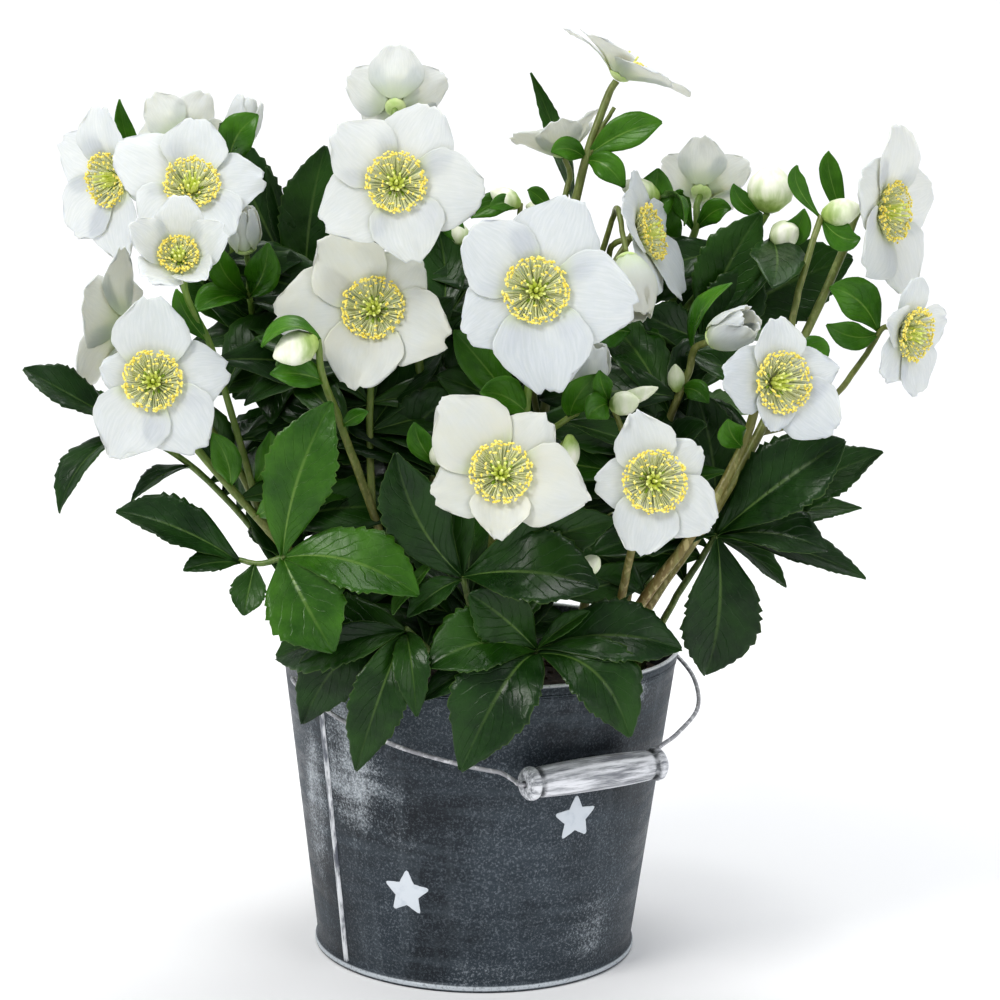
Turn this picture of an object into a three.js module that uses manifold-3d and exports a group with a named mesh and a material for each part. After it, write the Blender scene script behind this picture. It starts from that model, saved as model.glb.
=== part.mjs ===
// A Christmas rose (Helleborus niger) in flower, growing in a zinc bucket
// with a wire bail and a turned wooden grip.
// Millimetres, +Z up. The origin is the middle of the bucket's underside; -Y is the front.
import * as THREE from 'three';
import * as BufferGeometryUtils from 'three/addons/utils/BufferGeometryUtils.js';
import Module from 'manifold-3d';

const wasm = await Module();
wasm.setup();

// ---------- driving dimensions ----------
const BUCKET_HEIGHT = 144.5;
const BASE_RADIUS = 73;
const RIM_RADIUS = 91.5;
const SHEET = 1.2;
const BEAD = 0.6;
const FOOT_RING = { radius: 74.8, height: 3.4 };
const BUCKET_SIDES = 32;
const SEAM = { azimuth: -51.6, width: 3.6, proud: 0.9 };

const SOIL_TOP = 128;
const GAP = 0.35;
const CROWN = { depth: 9, rise: 3, sides: 6 };

const BAIL_AZIMUTH = 32; // of the grip, from the front towards the right
const PIVOT_HEIGHT = 136;
const LEAN = 71.5; // of the bail from straight down, where the grip meets the wall
const BAIL_RADIUS = 98;
const WIRE_RADIUS = 1;
const GRIP = { half: 36, reach: 101, radius: 7.5, bore: 1.6, sides: 12 };
const EAR = { width: 15, height: 13, plate: 1.2, boss: 4.6, reach: 96, hole: 1.45 };

const PETAL_THICKNESS = 0.8;
const LEAF_THICKNESS = 0.9;

const DEG = Math.PI / 180;
const UP = new THREE.Vector3(0, 0, 1);
const vec = (p) => new THREE.Vector3(p[0], p[1], p[2]);
const wallRadius = (z) => BASE_RADIUS + ((RIM_RADIUS - BASE_RADIUS) * z) / BUCKET_HEIGHT;

// ---------- materials ----------
const finish = (color, roughness, metalness = 0) => ({ color, roughness, metalness });
const FINISHES = {
  zinc: finish(0x3d4350, 0.6, 0.5),
  wire: finish(0x9a9a9c, 0.5, 0.6),
  wood: finish(0xc9c9cb, 0.75),
  soil: finish(0x2b211b, 0.95),
  petal: finish(0xf2f3ec, 0.5),
  stamens: finish(0xe0c63a, 0.6),
  stem: finish(0x8a8a3c, 0.6),
  leaf: finish(0x1f4a1d, 0.45),
};

const model = new THREE.Group();
function place(name, geometry, kind) {
  geometry.computeVertexNormals();
  const mesh = new THREE.Mesh(geometry, new THREE.MeshStandardMaterial(FINISHES[kind]));
  mesh.name = name;
  model.add(mesh);
}

// ---------- joining and cutting ----------
function toSolid(geometry) {
  const bare = geometry.clone();
  bare.deleteAttribute('normal');
  bare.deleteAttribute('uv');
  const merged = BufferGeometryUtils.mergeVertices(bare, 1e-4);
  return new wasm.Manifold(
    new wasm.Mesh({
      numProp: 3,
      vertProperties: new Float32Array(merged.attributes.position.array),
      triVerts: new Uint32Array(merged.index.array),
    }),
  );
}

function toGeometry(solid) {
  const mesh = solid.getMesh();
  const geometry = new THREE.BufferGeometry();
  geometry.setAttribute('position', new THREE.BufferAttribute(mesh.vertProperties, 3));
  geometry.setIndex(new THREE.BufferAttribute(mesh.triVerts, 1));
  return geometry;
}

const join = (geometries) => toGeometry(wasm.Manifold.union(geometries.map(toSolid)));

// ---------- closed surfaces ----------
// Rings of equal length, one after another, capped at both ends.
function loft(rings) {
  const sides = rings[0].length;
  const points = rings.flat();
  const index = [];
  for (let i = 0; i + 1 < rings.length; i++) {
    for (let j = 0; j < sides; j++) {
      const a = i * sides + j;
      const b = i * sides + ((j + 1) % sides);
      index.push(a, b, b + sides, a, b + sides, a + sides);
    }
  }
  const last = (rings.length - 1) * sides;
  for (let j = 1; j + 1 < sides; j++) {
    index.push(0, j + 1, j);
    index.push(last, last + j, last + j + 1);
  }
  return fromPoints(points, index);
}

// A tube through points, tapering from radius r0 to r1, with so many pieces from point to point.
function tube(points, r0, r1, sides, pieces) {
  const curve = new THREE.CatmullRomCurve3(points, false, 'catmullrom', 0.5);
  const steps = (points.length - 1) * pieces;
  const side = basis(curve.getTangent(0)).x;
  const rings = [];
  for (let i = 0; i <= steps; i++) {
    const centre = curve.getPoint(i / steps);
    const along = curve.getTangent(i / steps);
    side.addScaledVector(along, -side.dot(along)).normalize();
    const other = new THREE.Vector3().crossVectors(along, side);
    const radius = r0 + ((r1 - r0) * i) / steps;
    const ring = [];
    for (let j = 0; j < sides; j++) {
      const turn = (2 * Math.PI * j) / sides;
      const point = centre.clone().addScaledVector(side, Math.cos(turn) * radius);
      ring.push(point.addScaledVector(other, Math.sin(turn) * radius));
    }
    rings.push(ring);
  }
  return loft(rings);
}

// A curved blade: surface(s, t) gives its middle for s from root to tip and t from side to side.
// Returns the points of its upper and lower faces, row by row from the root.
function bladePoints(surface, rows, columns, thickness) {
  const small = 1e-3;
  const faces = [[], []];
  for (const s of rows) {
    for (const t of columns) {
      const along = surface(Math.min(s + small, 1), t).sub(surface(Math.max(s - small, 0), t));
      const across = surface(s, Math.min(t + small, 1)).sub(surface(s, Math.max(t - small, -1)));
      const normal = along.cross(across).normalize().multiplyScalar(thickness / 2);
      faces[0].push(surface(s, t).add(normal));
      faces[1].push(surface(s, t).sub(normal));
    }
  }
  return faces;
}

// Triangles of a blade whose points start at first; both faces are split along the same diagonals.
function bladeIndex(first, nu, nv) {
  const back = nu * nv;
  const index = [];
  for (let i = 0; i + 1 < nu; i++) {
    for (let j = 0; j + 1 < nv; j++) {
      const a = first + i * nv + j;
      const [b, c, d] = [a + 1, a + nv, a + nv + 1];
      index.push(a, c, d, a, d, b);
      index.push(back + a, back + d, back + c, back + a, back + b, back + d);
    }
  }
  const rim = [];
  for (let i = 0; i < nu; i++) rim.push(first + i * nv + nv - 1);
  for (let j = nv - 2; j >= 0; j--) rim.push(first + (nu - 1) * nv + j);
  for (let i = nu - 2; i >= 0; i--) rim.push(first + i * nv);
  for (let k = 0; k + 1 < rim.length; k++) {
    const [a, b] = [rim[k], rim[k + 1]];
    index.push(a, b, back + b, a, back + b, back + a);
  }
  return index;
}

function fromPoints(points, index) {
  const geometry = new THREE.BufferGeometry();
  const numbers = points.flatMap((point) => point.toArray());
  geometry.setAttribute('position', new THREE.Float32BufferAttribute(numbers, 3));
  geometry.setIndex(index);
  return geometry;
}

// One blade on its own, closed at its root.
function blade(surface, rows, columns, thickness) {
  const nv = columns.length;
  const points = bladePoints(surface, rows, columns, thickness).flat();
  const index = bladeIndex(0, rows.length, nv);
  const back = rows.length * nv;
  for (let j = 0; j + 1 < nv; j++) index.push(j, j + 1, back + j + 1, j, back + j + 1, back + j);
  return fromPoints(points, index);
}

// Blades in turn round a hub, which closes in a fan to one point in front and one behind.
function rosette(surfaces, rows, columns, thickness, front, behind) {
  const [nu, nv] = [rows.length, columns.length];
  const points = [front, behind];
  const index = [];
  const starts = surfaces.map((surface) => {
    const first = points.length;
    points.push(...bladePoints(surface, rows, columns, thickness).flat());
    index.push(...bladeIndex(first, nu, nv));
    return first;
  });
  const loop = starts.flatMap((first) => columns.map((_, j) => first + j));
  const back = nu * nv;
  loop.forEach((a, k) => {
    const b = loop[(k + 1) % loop.length];
    index.push(0, a, b, 1, back + b, back + a);
    if (k % nv === nv - 1) index.push(a, back + a, back + b, a, back + b, b);
  });
  return fromPoints(points, index);
}

// A small round solid stretched along an axis, for buds, joints and knobs.
function drop(centre, axis, length, width, sides = 5) {
  const profile = [
    [0.0, 0.3],
    [0.3, 0.95],
    [0.68, 0.9],
    [1.0, 0.15],
  ];
  const frame = basis(axis);
  const rings = profile.map(([along, wide]) => {
    const ring = [];
    for (let j = 0; j < sides; j++) {
      const turn = (2 * Math.PI * j) / sides;
      const x = (Math.cos(turn) * wide * width) / 2;
      const y = (Math.sin(turn) * wide * width) / 2;
      ring.push(toWorld(frame, centre, x, y, along * length));
    }
    return ring;
  });
  return loft(rings);
}

// Right-handed axes with z along the given direction and y as nearly upwards as can be.
function basis(direction) {
  const z = direction.clone().normalize();
  const x = new THREE.Vector3().crossVectors(UP, z).normalize();
  return { x, y: new THREE.Vector3().crossVectors(z, x), z };
}

const toWorld = (frame, origin, x, y, z) =>
  origin.clone().addScaledVector(frame.x, x).addScaledVector(frame.y, y).addScaledVector(frame.z, z);

// ---------- bucket ----------
function ringLathe(profile, sides) {
  const points = profile.map(([r, z]) => new THREE.Vector2(r, z));
  return new THREE.LatheGeometry(points, sides).rotateX(Math.PI / 2);
}

function bucket() {
  const top = BUCKET_HEIGHT;
  const inner = RIM_RADIUS - SHEET;
  const shell = ringLathe(
    [
      [0, 0],
      [FOOT_RING.radius, 0],
      [FOOT_RING.radius, FOOT_RING.height],
      [wallRadius(FOOT_RING.height), FOOT_RING.height + 0.6],
      [wallRadius(top - 2.6), top - 2.6],
      [RIM_RADIUS + BEAD, top - 1.9],
      [RIM_RADIUS + BEAD, top - 0.5],
      [RIM_RADIUS, top],
      [inner, top],
      [wallRadius(SHEET) - SHEET, SHEET],
      [0, SHEET],
    ],
    BUCKET_SIDES,
  );
  return join([shell, seamStrip()]);
}

// The folded seam down the wall, where the sheet's two ends meet.
function seamStrip() {
  const turn = SEAM.azimuth * DEG;
  const out = new THREE.Vector3(Math.sin(turn), -Math.cos(turn), 0);
  const side = new THREE.Vector3(Math.cos(turn), Math.sin(turn), 0);
  const section = (z) => {
    const wall = wallRadius(z);
    return [
      [-0.8, wall + SEAM.proud],
      [0.8, wall + SEAM.proud],
      [1, wall - SHEET * 0.7],
      [-1, wall - SHEET * 0.7],
    ].map(([across, radius]) => {
      const foot = out.clone().multiplyScalar(radius);
      foot.addScaledVector(side, (across * SEAM.width) / 2);
      foot.z = z;
      return foot;
    });
  };
  return loft([section(2), section(BUCKET_HEIGHT - 2)]);
}

// ---------- bail, ears and grip ----------
const bailTurn = BAIL_AZIMUTH * DEG;
const bailAxis = new THREE.Vector3(Math.cos(bailTurn), Math.sin(bailTurn), 0);
const bailOut = new THREE.Vector3(Math.sin(bailTurn), -Math.cos(bailTurn), 0);
const bailDown = bailOut
  .clone()
  .multiplyScalar(Math.sin(LEAN * DEG))
  .addScaledVector(UP, -Math.cos(LEAN * DEG));
const pivot = new THREE.Vector3(0, 0, PIVOT_HEIGHT);
// A point of the bail's plane: along the pivot axis, and away from it.
const inBail = (along, away) =>
  pivot.clone().addScaledVector(bailAxis, along).addScaledVector(bailDown, away);

// One side of the bail from its ear to the shoulder by the grip. The right side bows out a little more.
function bailSide(sign, bow) {
  const points = [-4.2, -1, 1.6].map((beyond) => inBail(sign * (EAR.reach + beyond), 0));
  for (const angle of [8, 22, 38, 54]) {
    const swell = BAIL_RADIUS + bow * Math.sin(angle * 3 * DEG);
    points.push(inBail(sign * swell * Math.cos(angle * DEG), swell * Math.sin(angle * DEG)));
  }
  points.push(inBail(sign * (GRIP.half + 10), 87.5));
  points.push(inBail(sign * (GRIP.half + 5.5), 90.5));
  points.push(inBail(sign * (GRIP.half + 3), 97));
  points.push(inBail(sign * (GRIP.half + 0.9), GRIP.reach));
  return points;
}

function bailWire() {
  const left = bailSide(-1, 0);
  const right = bailSide(1, 6);
  const middle = [-20, 0, 20].map((along) => inBail(along, GRIP.reach));
  return tube([...left, ...middle, ...right.reverse()], WIRE_RADIUS, WIRE_RADIUS, 6, 2);
}

function grip() {
  const { half, radius, bore, sides } = GRIP;
  const halfOutline = [
    [bore, half],
    [radius * 0.62, half],
    [radius * 0.93, half - 1.2],
    [radius * 0.97, half - 4],
    [radius * 0.78, half - 5.4],
    [radius * 0.78, half - 6.4],
    [radius * 0.9, half - 7.6],
    [radius, half * 0.35],
  ];
  const mirrored = halfOutline.map(([r, x]) => [r, -x]).reverse();
  const outline = [...halfOutline, ...mirrored, halfOutline[0]].reverse();
  const shape = ringLathe(outline, sides);
  const toPlace = new THREE.Matrix4().makeBasis(
    bailDown.clone(),
    new THREE.Vector3().crossVectors(bailAxis, bailDown),
    bailAxis.clone(),
  );
  return shape.applyMatrix4(toPlace.setPosition(inBail(0, GRIP.reach)));
}

// A pressed plate riveted on the wall, with a domed boss that the wire's end turns in.
function ear(sign) {
  const wall = wallRadius(PIVOT_HEIGHT);
  const axis = bailAxis.clone().multiplyScalar(sign);
  const across = bailOut.clone();
  const taper = (RIM_RADIUS - BASE_RADIUS) / BUCKET_HEIGHT;
  const at = (depth, side, rise) => {
    const foot = pivot.clone().addScaledVector(axis, wall + GAP + depth + rise * taper);
    foot.addScaledVector(across, side);
    foot.z += rise;
    return foot;
  };
  const outline = (depth) => {
    const [w, h] = [EAR.width / 2, EAR.height / 2];
    const corners = [[-w, -h + 3], [-w + 3, -h], [w - 3, -h], [w, -h + 3], [w, h - 4], [w - 3, h - 1]];
    corners.push([-w + 3, h - 1], [-w, h - 4]);
    return corners.map(([side, rise]) => at(depth, side, rise - 1.5));
  };
  const disc = (depth, radius) => {
    const ring = [];
    for (let j = 0; j < 8; j++) {
      const turn = (2 * Math.PI * j) / 8;
      ring.push(at(depth, Math.cos(turn) * radius, Math.sin(turn) * radius));
    }
    return ring;
  };
  const flip = (rings) => (sign > 0 ? rings.map((ring) => ring.slice().reverse()) : rings);
  const plate = loft(flip([outline(0), outline(EAR.plate)]));
  const boss = loft(flip([disc(0.2, EAR.boss + 1), disc(2.4, EAR.boss), disc(3.8, EAR.boss * 0.6)]));
  const hole = [];
  for (const reach of [wall + GAP + 0.7, wall + 12]) {
    const ring = [];
    for (let j = 0; j < 8; j++) {
      const turn = (2 * Math.PI * j) / 8;
      const foot = pivot.clone().addScaledVector(axis, reach);
      foot.addScaledVector(across, Math.cos(turn) * EAR.hole);
      foot.z += Math.sin(turn) * EAR.hole;
      ring.push(foot);
    }
    hole.push(ring);
  }
  const body = toSolid(plate).add(toSolid(boss));
  return toGeometry(body.subtract(toSolid(loft(flip(hole)))));
}

// ---------- crowns and soil ----------
// Where each clump of stems leaves the soil: [x, y], and the radius of its crown.
const CROWNS = {
  stems_left: { at: [-46, 14], radius: 9 },
  stems_front_left: { at: [-34, -38], radius: 9 },
  stems_middle: { at: [0, -30], radius: 9 },
  stems_top: { at: [14, 8], radius: 8 },
  stems_right: { at: [52, -34], radius: 9 },
  stems_back: { at: [42, 14], radius: 8 },
  fronds_left: { at: [-66, -14], radius: 9 },
  fronds_front: { at: [12, -64], radius: 10 },
  fronds_right: { at: [72, -4], radius: 8 },
  fronds_middle: { at: [-20, 30], radius: 9 },
  fronds_back: { at: [18, 58], radius: 11 },
};

function crownRing(crown, z, grow) {
  const ring = [];
  for (let j = 0; j < CROWN.sides; j++) {
    const turn = (2 * Math.PI * j) / CROWN.sides;
    const radius = crown.radius + grow;
    const [x, y] = crown.at;
    ring.push(new THREE.Vector3(x + radius * Math.cos(turn), y + radius * Math.sin(turn), z));
  }
  return ring;
}

const crownKnob = (crown) =>
  loft([crownRing(crown, SOIL_TOP - CROWN.depth, 0), crownRing(crown, SOIL_TOP + CROWN.rise, -0.2)]);

function soil() {
  const below = SHEET + GAP;
  const shape = ringLathe(
    [
      [0, below],
      [wallRadius(below) - SHEET - 1, below],
      [wallRadius(SOIL_TOP) - SHEET - 1, SOIL_TOP - 2],
      [wallRadius(SOIL_TOP) - SHEET - 6, SOIL_TOP],
      [0, SOIL_TOP],
    ],
    BUCKET_SIDES,
  );
  let body = toSolid(shape);
  for (const crown of Object.values(CROWNS)) {
    const hole = loft([
      crownRing(crown, SOIL_TOP - CROWN.depth - GAP, GAP * 1.2),
      crownRing(crown, SOIL_TOP, GAP * 1.2),
    ]);
    body = body.subtract(toSolid(hole));
  }
  return toGeometry(body);
}

// ---------- blooms ----------
// Slope of a petal above the flower's plane at its base, middle and tip.
const OPEN = [34, 14, -6];
const SHALLOW = [36, 24, 8];
const BOWL = [30, 46, 30];
const CUP = [24, 60, 48];
const CLOSED = [50, 92, 116];

// A petal's side edges lie over (+1) or under (-1) their neighbours', as in a real bloom of five.
const EDGES = [[-1, -1], [1, 1], [-1, -1], [1, 1], [-1, 1]];
const evenly = (first, length) => [0, 1, 2, 3, 4].map((k) => [first + 72 * k, length]);

// at: middle of the bloom; face: the way it looks; size: of its stamens;
// petals: [angle seen from the front, length, how pointed its tip is].
const BLOOMS = {
  bloom_01: { at: [-166, -8, 353], face: [-62, -78, -5], form: OPEN, size: 0.95,
    petals: [[18, 29], [93, 30], [152, 30], [226, 31], [284, 34]] },
  bloom_02: { at: [-128, -52, 351], face: [12, -80, 52], form: OPEN, size: 0.95,
    petals: [[3, 29], [85, 29], [152, 34], [228, 28], [300, 28]] },
  bloom_03: { at: [-140, 16, 369], face: [-8, 80, 45], form: BOWL, size: 0.8, petals: evenly(50, 22) },
  bloom_04: { at: [-128, -95, 325], face: [4, -85, 46], form: CUP, size: 0.66, petals: evenly(90, 25) },
  bloom_05: { at: [-44, 34, 386], face: [3, 85, 40], form: BOWL, size: 0.9, petals: evenly(90, 26) },
  bloom_06: { at: [-39, -82, 357], face: [2, -98, 17], form: OPEN, size: 1,
    petals: [[64, 33], [139, 31], [212, 33], [286, 32, 0.3], [352, 35]] },
  bloom_07: { at: [-48, -68, 303], face: [-5, -97, 20], form: SHALLOW, size: 1.05,
    petals: [[48, 28], [125, 35, 0.3], [188, 41], [261, 35], [335, 35]] },
  bloom_08: { at: [-140, -85, 272], face: [5, -97, 20], form: OPEN, size: 1,
    petals: [[8, 30], [92, 33], [165, 20, 0.5], [243, 34, 0.8], [305, 33]] },
  bloom_09: { at: [-158, -40, 290], face: [-91, 27, 12], form: OPEN, size: 0.95,
    petals: evenly(96, 32) },
  bloom_10: { at: [20, -100, 315], face: [0, -98, 18], form: OPEN, size: 1.08,
    petals: [[69, 39], [140, 35], [214, 33], [279, 41], [352, 40]] },
  bloom_11: { at: [7, -130, 243], face: [0, -95, 28], form: OPEN, size: 1,
    petals: [[52, 27], [129, 36, 0.7], [201, 27], [270, 25, 0.8], [344, 35, 1]] },
  bloom_12: { at: [70, -115, 239], face: [5, -98, 15], form: OPEN, size: 1.05,
    petals: [[38, 21], [106, 27, 0.8], [184, 22], [258, 28], [322, 28]] },
  bloom_13: { at: [123, -75, 276], face: [40, -90, 15], form: SHALLOW, size: 1.05,
    petals: [[12, 25, 1], [98, 26], [174, 29], [250, 20, 0.5], [316, 30]] },
  bloom_14: { at: [57, 2, 403], face: [45, 5, 85], form: OPEN, size: 0.95, petals: evenly(60, 31) },
  bloom_15: { at: [33, 14, 368], face: [-30, 10, 92], form: BOWL, size: 0.8, petals: evenly(20, 22) },
  bloom_16: { at: [66, -20, 333], face: [87, -36, 31], form: OPEN, size: 1,
    petals: [[86, 26], [159, 30], [231, 32, 0.6], [303, 34], [15, 23]] },
  bloom_17: { at: [98, 34, 350], face: [22, 72, 52], form: BOWL, size: 0.7, petals: evenly(90, 23) },
  bloom_18: { at: [176, 0, 345], face: [80, -60, 4], form: OPEN, size: 1.08,
    petals: [[15, 33], [90, 37], [155, 35], [222, 36], [290, 37]] },
  bloom_19: { at: [186, -20, 293], face: [72, -68, -8], form: OPEN, size: 0.95,
    petals: [[92, 23], [160, 20], [225, 24], [290, 27], [10, 22]] },
};

// Blooms still closed or half open: no stamens show, so they have petals alone.
const HALF_OPEN = {
  half_open_1: { at: [-112, -14, 370], face: [22, 15, 80], form: CLOSED, petals: evenly(90, 22) },
  half_open_2: { at: [-106, -36, 325], face: [-12, -20, 80], form: CLOSED, petals: evenly(90, 20) },
  half_open_3: { at: [98, -56, 292], face: [65, -55, 45], form: CLOSED, petals: evenly(90, 24) },
  half_open_4: { at: [42, -66, 271], face: [15, -15, 80], form: CLOSED, petals: evenly(90, 22) },
  half_open_5: { at: [60, -52, 326], face: [16, -40, -85], form: CLOSED, petals: evenly(90, 30) },
};

const HUB = { front: 0.7, back: -2.4 };
const PETAL_START = 4.2;
const PETAL_FOOT = 1.6;
const PETAL_LAP = { foot: 0.6, edge: 1.35 };
const PETAL_ROWS = [0, 0.36, 0.72, 1];
const PETAL_COLUMNS = [-1, 0, 1];
const CUP_SHARES = [0, 0.45, 1];
const LOBE_DEPTH = 0.14;

const bend = (form, s) =>
  s < 0.5 ? form[0] + (form[1] - form[0]) * s * 2 : form[1] + (form[2] - form[1]) * (s - 0.5) * 2;

const meanLength = ({ petals: all }) => all.reduce((sum, [, length]) => sum + length, 0) / all.length;

// The bloom as a surface turned about its axis: radius, height and slope at a distance from its middle.
function profile(bloom, distance) {
  const steps = 10;
  const whole = meanLength(bloom);
  let radius = PETAL_START;
  let height = 0;
  for (let k = 0; k < steps; k++) {
    const slope = bend(bloom.form, (distance * (k + 0.5)) / steps / whole) * DEG;
    radius += (Math.cos(slope) * distance) / steps;
    height += (Math.sin(slope) * distance) / steps;
  }
  return { radius, height, slope: bend(bloom.form, distance / whole) * DEG };
}

// Half the width of a petal: widest past its middle, with a blunt tip or a pointed one.
function petalHalf(length, pointed, s) {
  const share = 0.9 + 0.08 * pointed;
  return PETAL_FOOT + (length * 0.5 - PETAL_FOOT) * Math.sin(Math.PI * share * s) ** 0.7;
}

// A petal lies on the bloom's turned surface, its side edges a little in front of it or behind it.
function petalSurface(bloom, { angle, length, pointed, edges, seed }) {
  const frame = basis(vec(bloom.face));
  const origin = vec(bloom.at);
  return (s, t) => {
    const notch = (1 - pointed) * 0.03 * (1 - Math.abs(t)) * s ** 6;
    const reach = length * (s * (1 - 0.1 * t * t) - notch);
    const line = profile(bloom, reach);
    const across = t * petalHalf(length, pointed, s);
    const cone = line.radius / Math.cos(line.slope);
    const turn = angle * DEG + (Math.atan2(across, cone) * cone) / line.radius;
    const spot = profile(bloom, reach + Math.hypot(cone, across) - cone);
    const edge = PETAL_LAP.foot + (PETAL_LAP.edge - PETAL_LAP.foot) * Math.min(1, s * 3);
    const wave = 0.5 * s * t * t * Math.sin(5 * s + 2.4 * t + seed);
    const lift = edge * (t < 0 ? edges[0] : edges[1]) * Math.abs(t) ** 1.5 + wave;
    const radius = spot.radius - Math.sin(spot.slope) * lift;
    const height = spot.height + Math.cos(spot.slope) * lift;
    return toWorld(frame, origin, Math.cos(turn) * radius, Math.sin(turn) * radius, height);
  };
}

function petals(bloom, seed) {
  const frame = basis(vec(bloom.face));
  const onAxis = (height) => toWorld(frame, vec(bloom.at), 0, 0, height);
  const [front, behind] = [onAxis(HUB.front), onAxis(HUB.back)];
  const surfaces = bloom.petals
    .map(([angle, length, pointed = 0], k) => ({
      angle: angle % 360,
      length,
      pointed,
      edges: EDGES[k],
      seed: seed + 1.7 * k,
    }))
    .sort((one, other) => one.angle - other.angle)
    .map((petal) => petalSurface(bloom, petal));
  return rosette(surfaces, PETAL_ROWS, PETAL_COLUMNS, PETAL_THICKNESS, front, behind);
}

// A bloom still closed or half open: a thin-walled cup, with five lobes at its rim.
function cup(bloom) {
  const frame = basis(vec(bloom.face));
  const origin = vec(bloom.at);
  const ringAt = (share, inset) => {
    const ring = [];
    for (let j = 0; j < 10; j++) {
      const turn = (bloom.petals[0][0] + 36 * j) * DEG;
      const line = profile(bloom, meanLength(bloom) * share * (1 - (j % 2) * LOBE_DEPTH * share));
      const radius = line.radius - Math.sin(line.slope) * inset;
      const height = line.height + Math.cos(line.slope) * inset;
      ring.push(toWorld(frame, origin, Math.cos(turn) * radius, Math.sin(turn) * radius, height));
    }
    return ring;
  };
  const behind = toWorld(frame, origin, 0, 0, HUB.back);
  const tip = ringAt(0, -PETAL_THICKNESS).map((point) => point.lerp(behind, 0.75));
  const outside = CUP_SHARES.map((share) => ringAt(share, -PETAL_THICKNESS / 2));
  const inside = CUP_SHARES.map((share) => ringAt(share, PETAL_THICKNESS / 2)).reverse();
  return loft([tip, ...outside, ...inside]);
}

// The stamens' ring of anthers, drawn up from a narrow foot, round a clump of pistils.
function stamens(bloom) {
  const frame = basis(vec(bloom.face));
  const spikes = 5;
  // [radius, height] of a ring's odd points, then of its even points.
  const rings = [
    [[2.2, 0], [2.2, 0]],
    [[13.2, 9.6], [8.4, 8.6]],
    [[5.2, 8.4], [5.2, 9.4]],
    [[2.6, 12.4], [1.4, 10.8]],
  ];
  const solid = rings.map(([odd, even]) => {
    const ring = [];
    for (let j = 0; j < 2 * spikes; j++) {
      const turn = (Math.PI * j) / spikes;
      const radius = (j % 2 ? odd : even)[0] * bloom.size;
      const above = HUB.front + GAP + (j % 2 ? odd : even)[1] * bloom.size;
      ring.push(toWorld(frame, vec(bloom.at), Math.cos(turn) * radius, Math.sin(turn) * radius, above));
    }
    return ring;
  });
  return loft(solid);
}

// ---------- stems and leaves ----------
const STEM_SIDES = 4;
const NECK = 11;

// The end of a flower stem: straight into the back of its bloom's hub.
function neck(name) {
  const bloom = BLOOMS[name] ?? HALF_OPEN[name];
  const frame = basis(vec(bloom.face));
  return [-NECK, HUB.back - GAP].map((depth) => toWorld(frame, vec(bloom.at), 0, 0, depth));
}

function stem([points, r0, r1, bloom]) {
  const route = points.map(vec);
  if (bloom) route.push(...neck(bloom));
  return tube(route, r0, r1, STEM_SIDES, 1);
}

// Half the width of a leaflet of width 1: a narrow foot, widest near the middle, and a pointed tip.
const leafHalf = (s) => 0.03 + 0.47 * Math.abs(Math.sin(Math.PI * s ** 1.2)) ** 0.95;
const LEAF_ROWS = [0, 0.4, 0.72, 1];
const LEAF_TEETH = [0, 0.04, 0.14, 0];
const PLAIN_ROWS = [0, 0.56, 1];
const BRACT_ROWS = [0, 0.54, 1];

// How far the leaf's edge stands out at s, as a share of its width.
function serration(s) {
  const next = Math.max(1, LEAF_ROWS.findIndex((row) => row >= s - 1e-9));
  const share = (s - LEAF_ROWS[next - 1]) / (LEAF_ROWS[next] - LEAF_ROWS[next - 1]);
  return LEAF_TEETH[next - 1] + (LEAF_TEETH[next] - LEAF_TEETH[next - 1]) * share;
}

// A leaflet or bract from base to tip.
// bow moves the middle of its rib, and face is the way its upper side looks.
function leaflet([base, tip, width, bow, face, plain], rows) {
  const [start, end] = [vec(base), vec(tip)];
  const middle = start.clone().add(end).multiplyScalar(0.5).addScaledVector(vec(bow), 2);
  const rib = new THREE.QuadraticBezierCurve3(start, middle, end);
  const upper = vec(face).normalize();
  const surface = (s, t) => {
    const along = rib.getTangent(s);
    const side = new THREE.Vector3().crossVectors(along, upper).normalize();
    const normal = new THREE.Vector3().crossVectors(side, along);
    const tooth = plain ? 0 : serration(s) * Math.abs(t);
    const across = t * width * leafHalf(s) * (1 + tooth);
    const lift = Math.abs(across) * 0.28;
    return rib.getPoint(s).addScaledVector(side, across).addScaledVector(normal, lift);
  };
  return blade(surface, rows, rows === BRACT_ROWS ? [-1, 1] : [-1, 0, 1], LEAF_THICKNESS);
}

const FRONT = [0, -70, 70];
const LEFT = [-45, -45, 75];
const RIGHT = [40, -55, 72];
const BACK = [0, 65, 75];
const TO_FRONT = [0, -100, 20];
const TO_LEFT = [-90, -30, 30];
const TO_RIGHT = [90, -30, 30];

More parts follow.
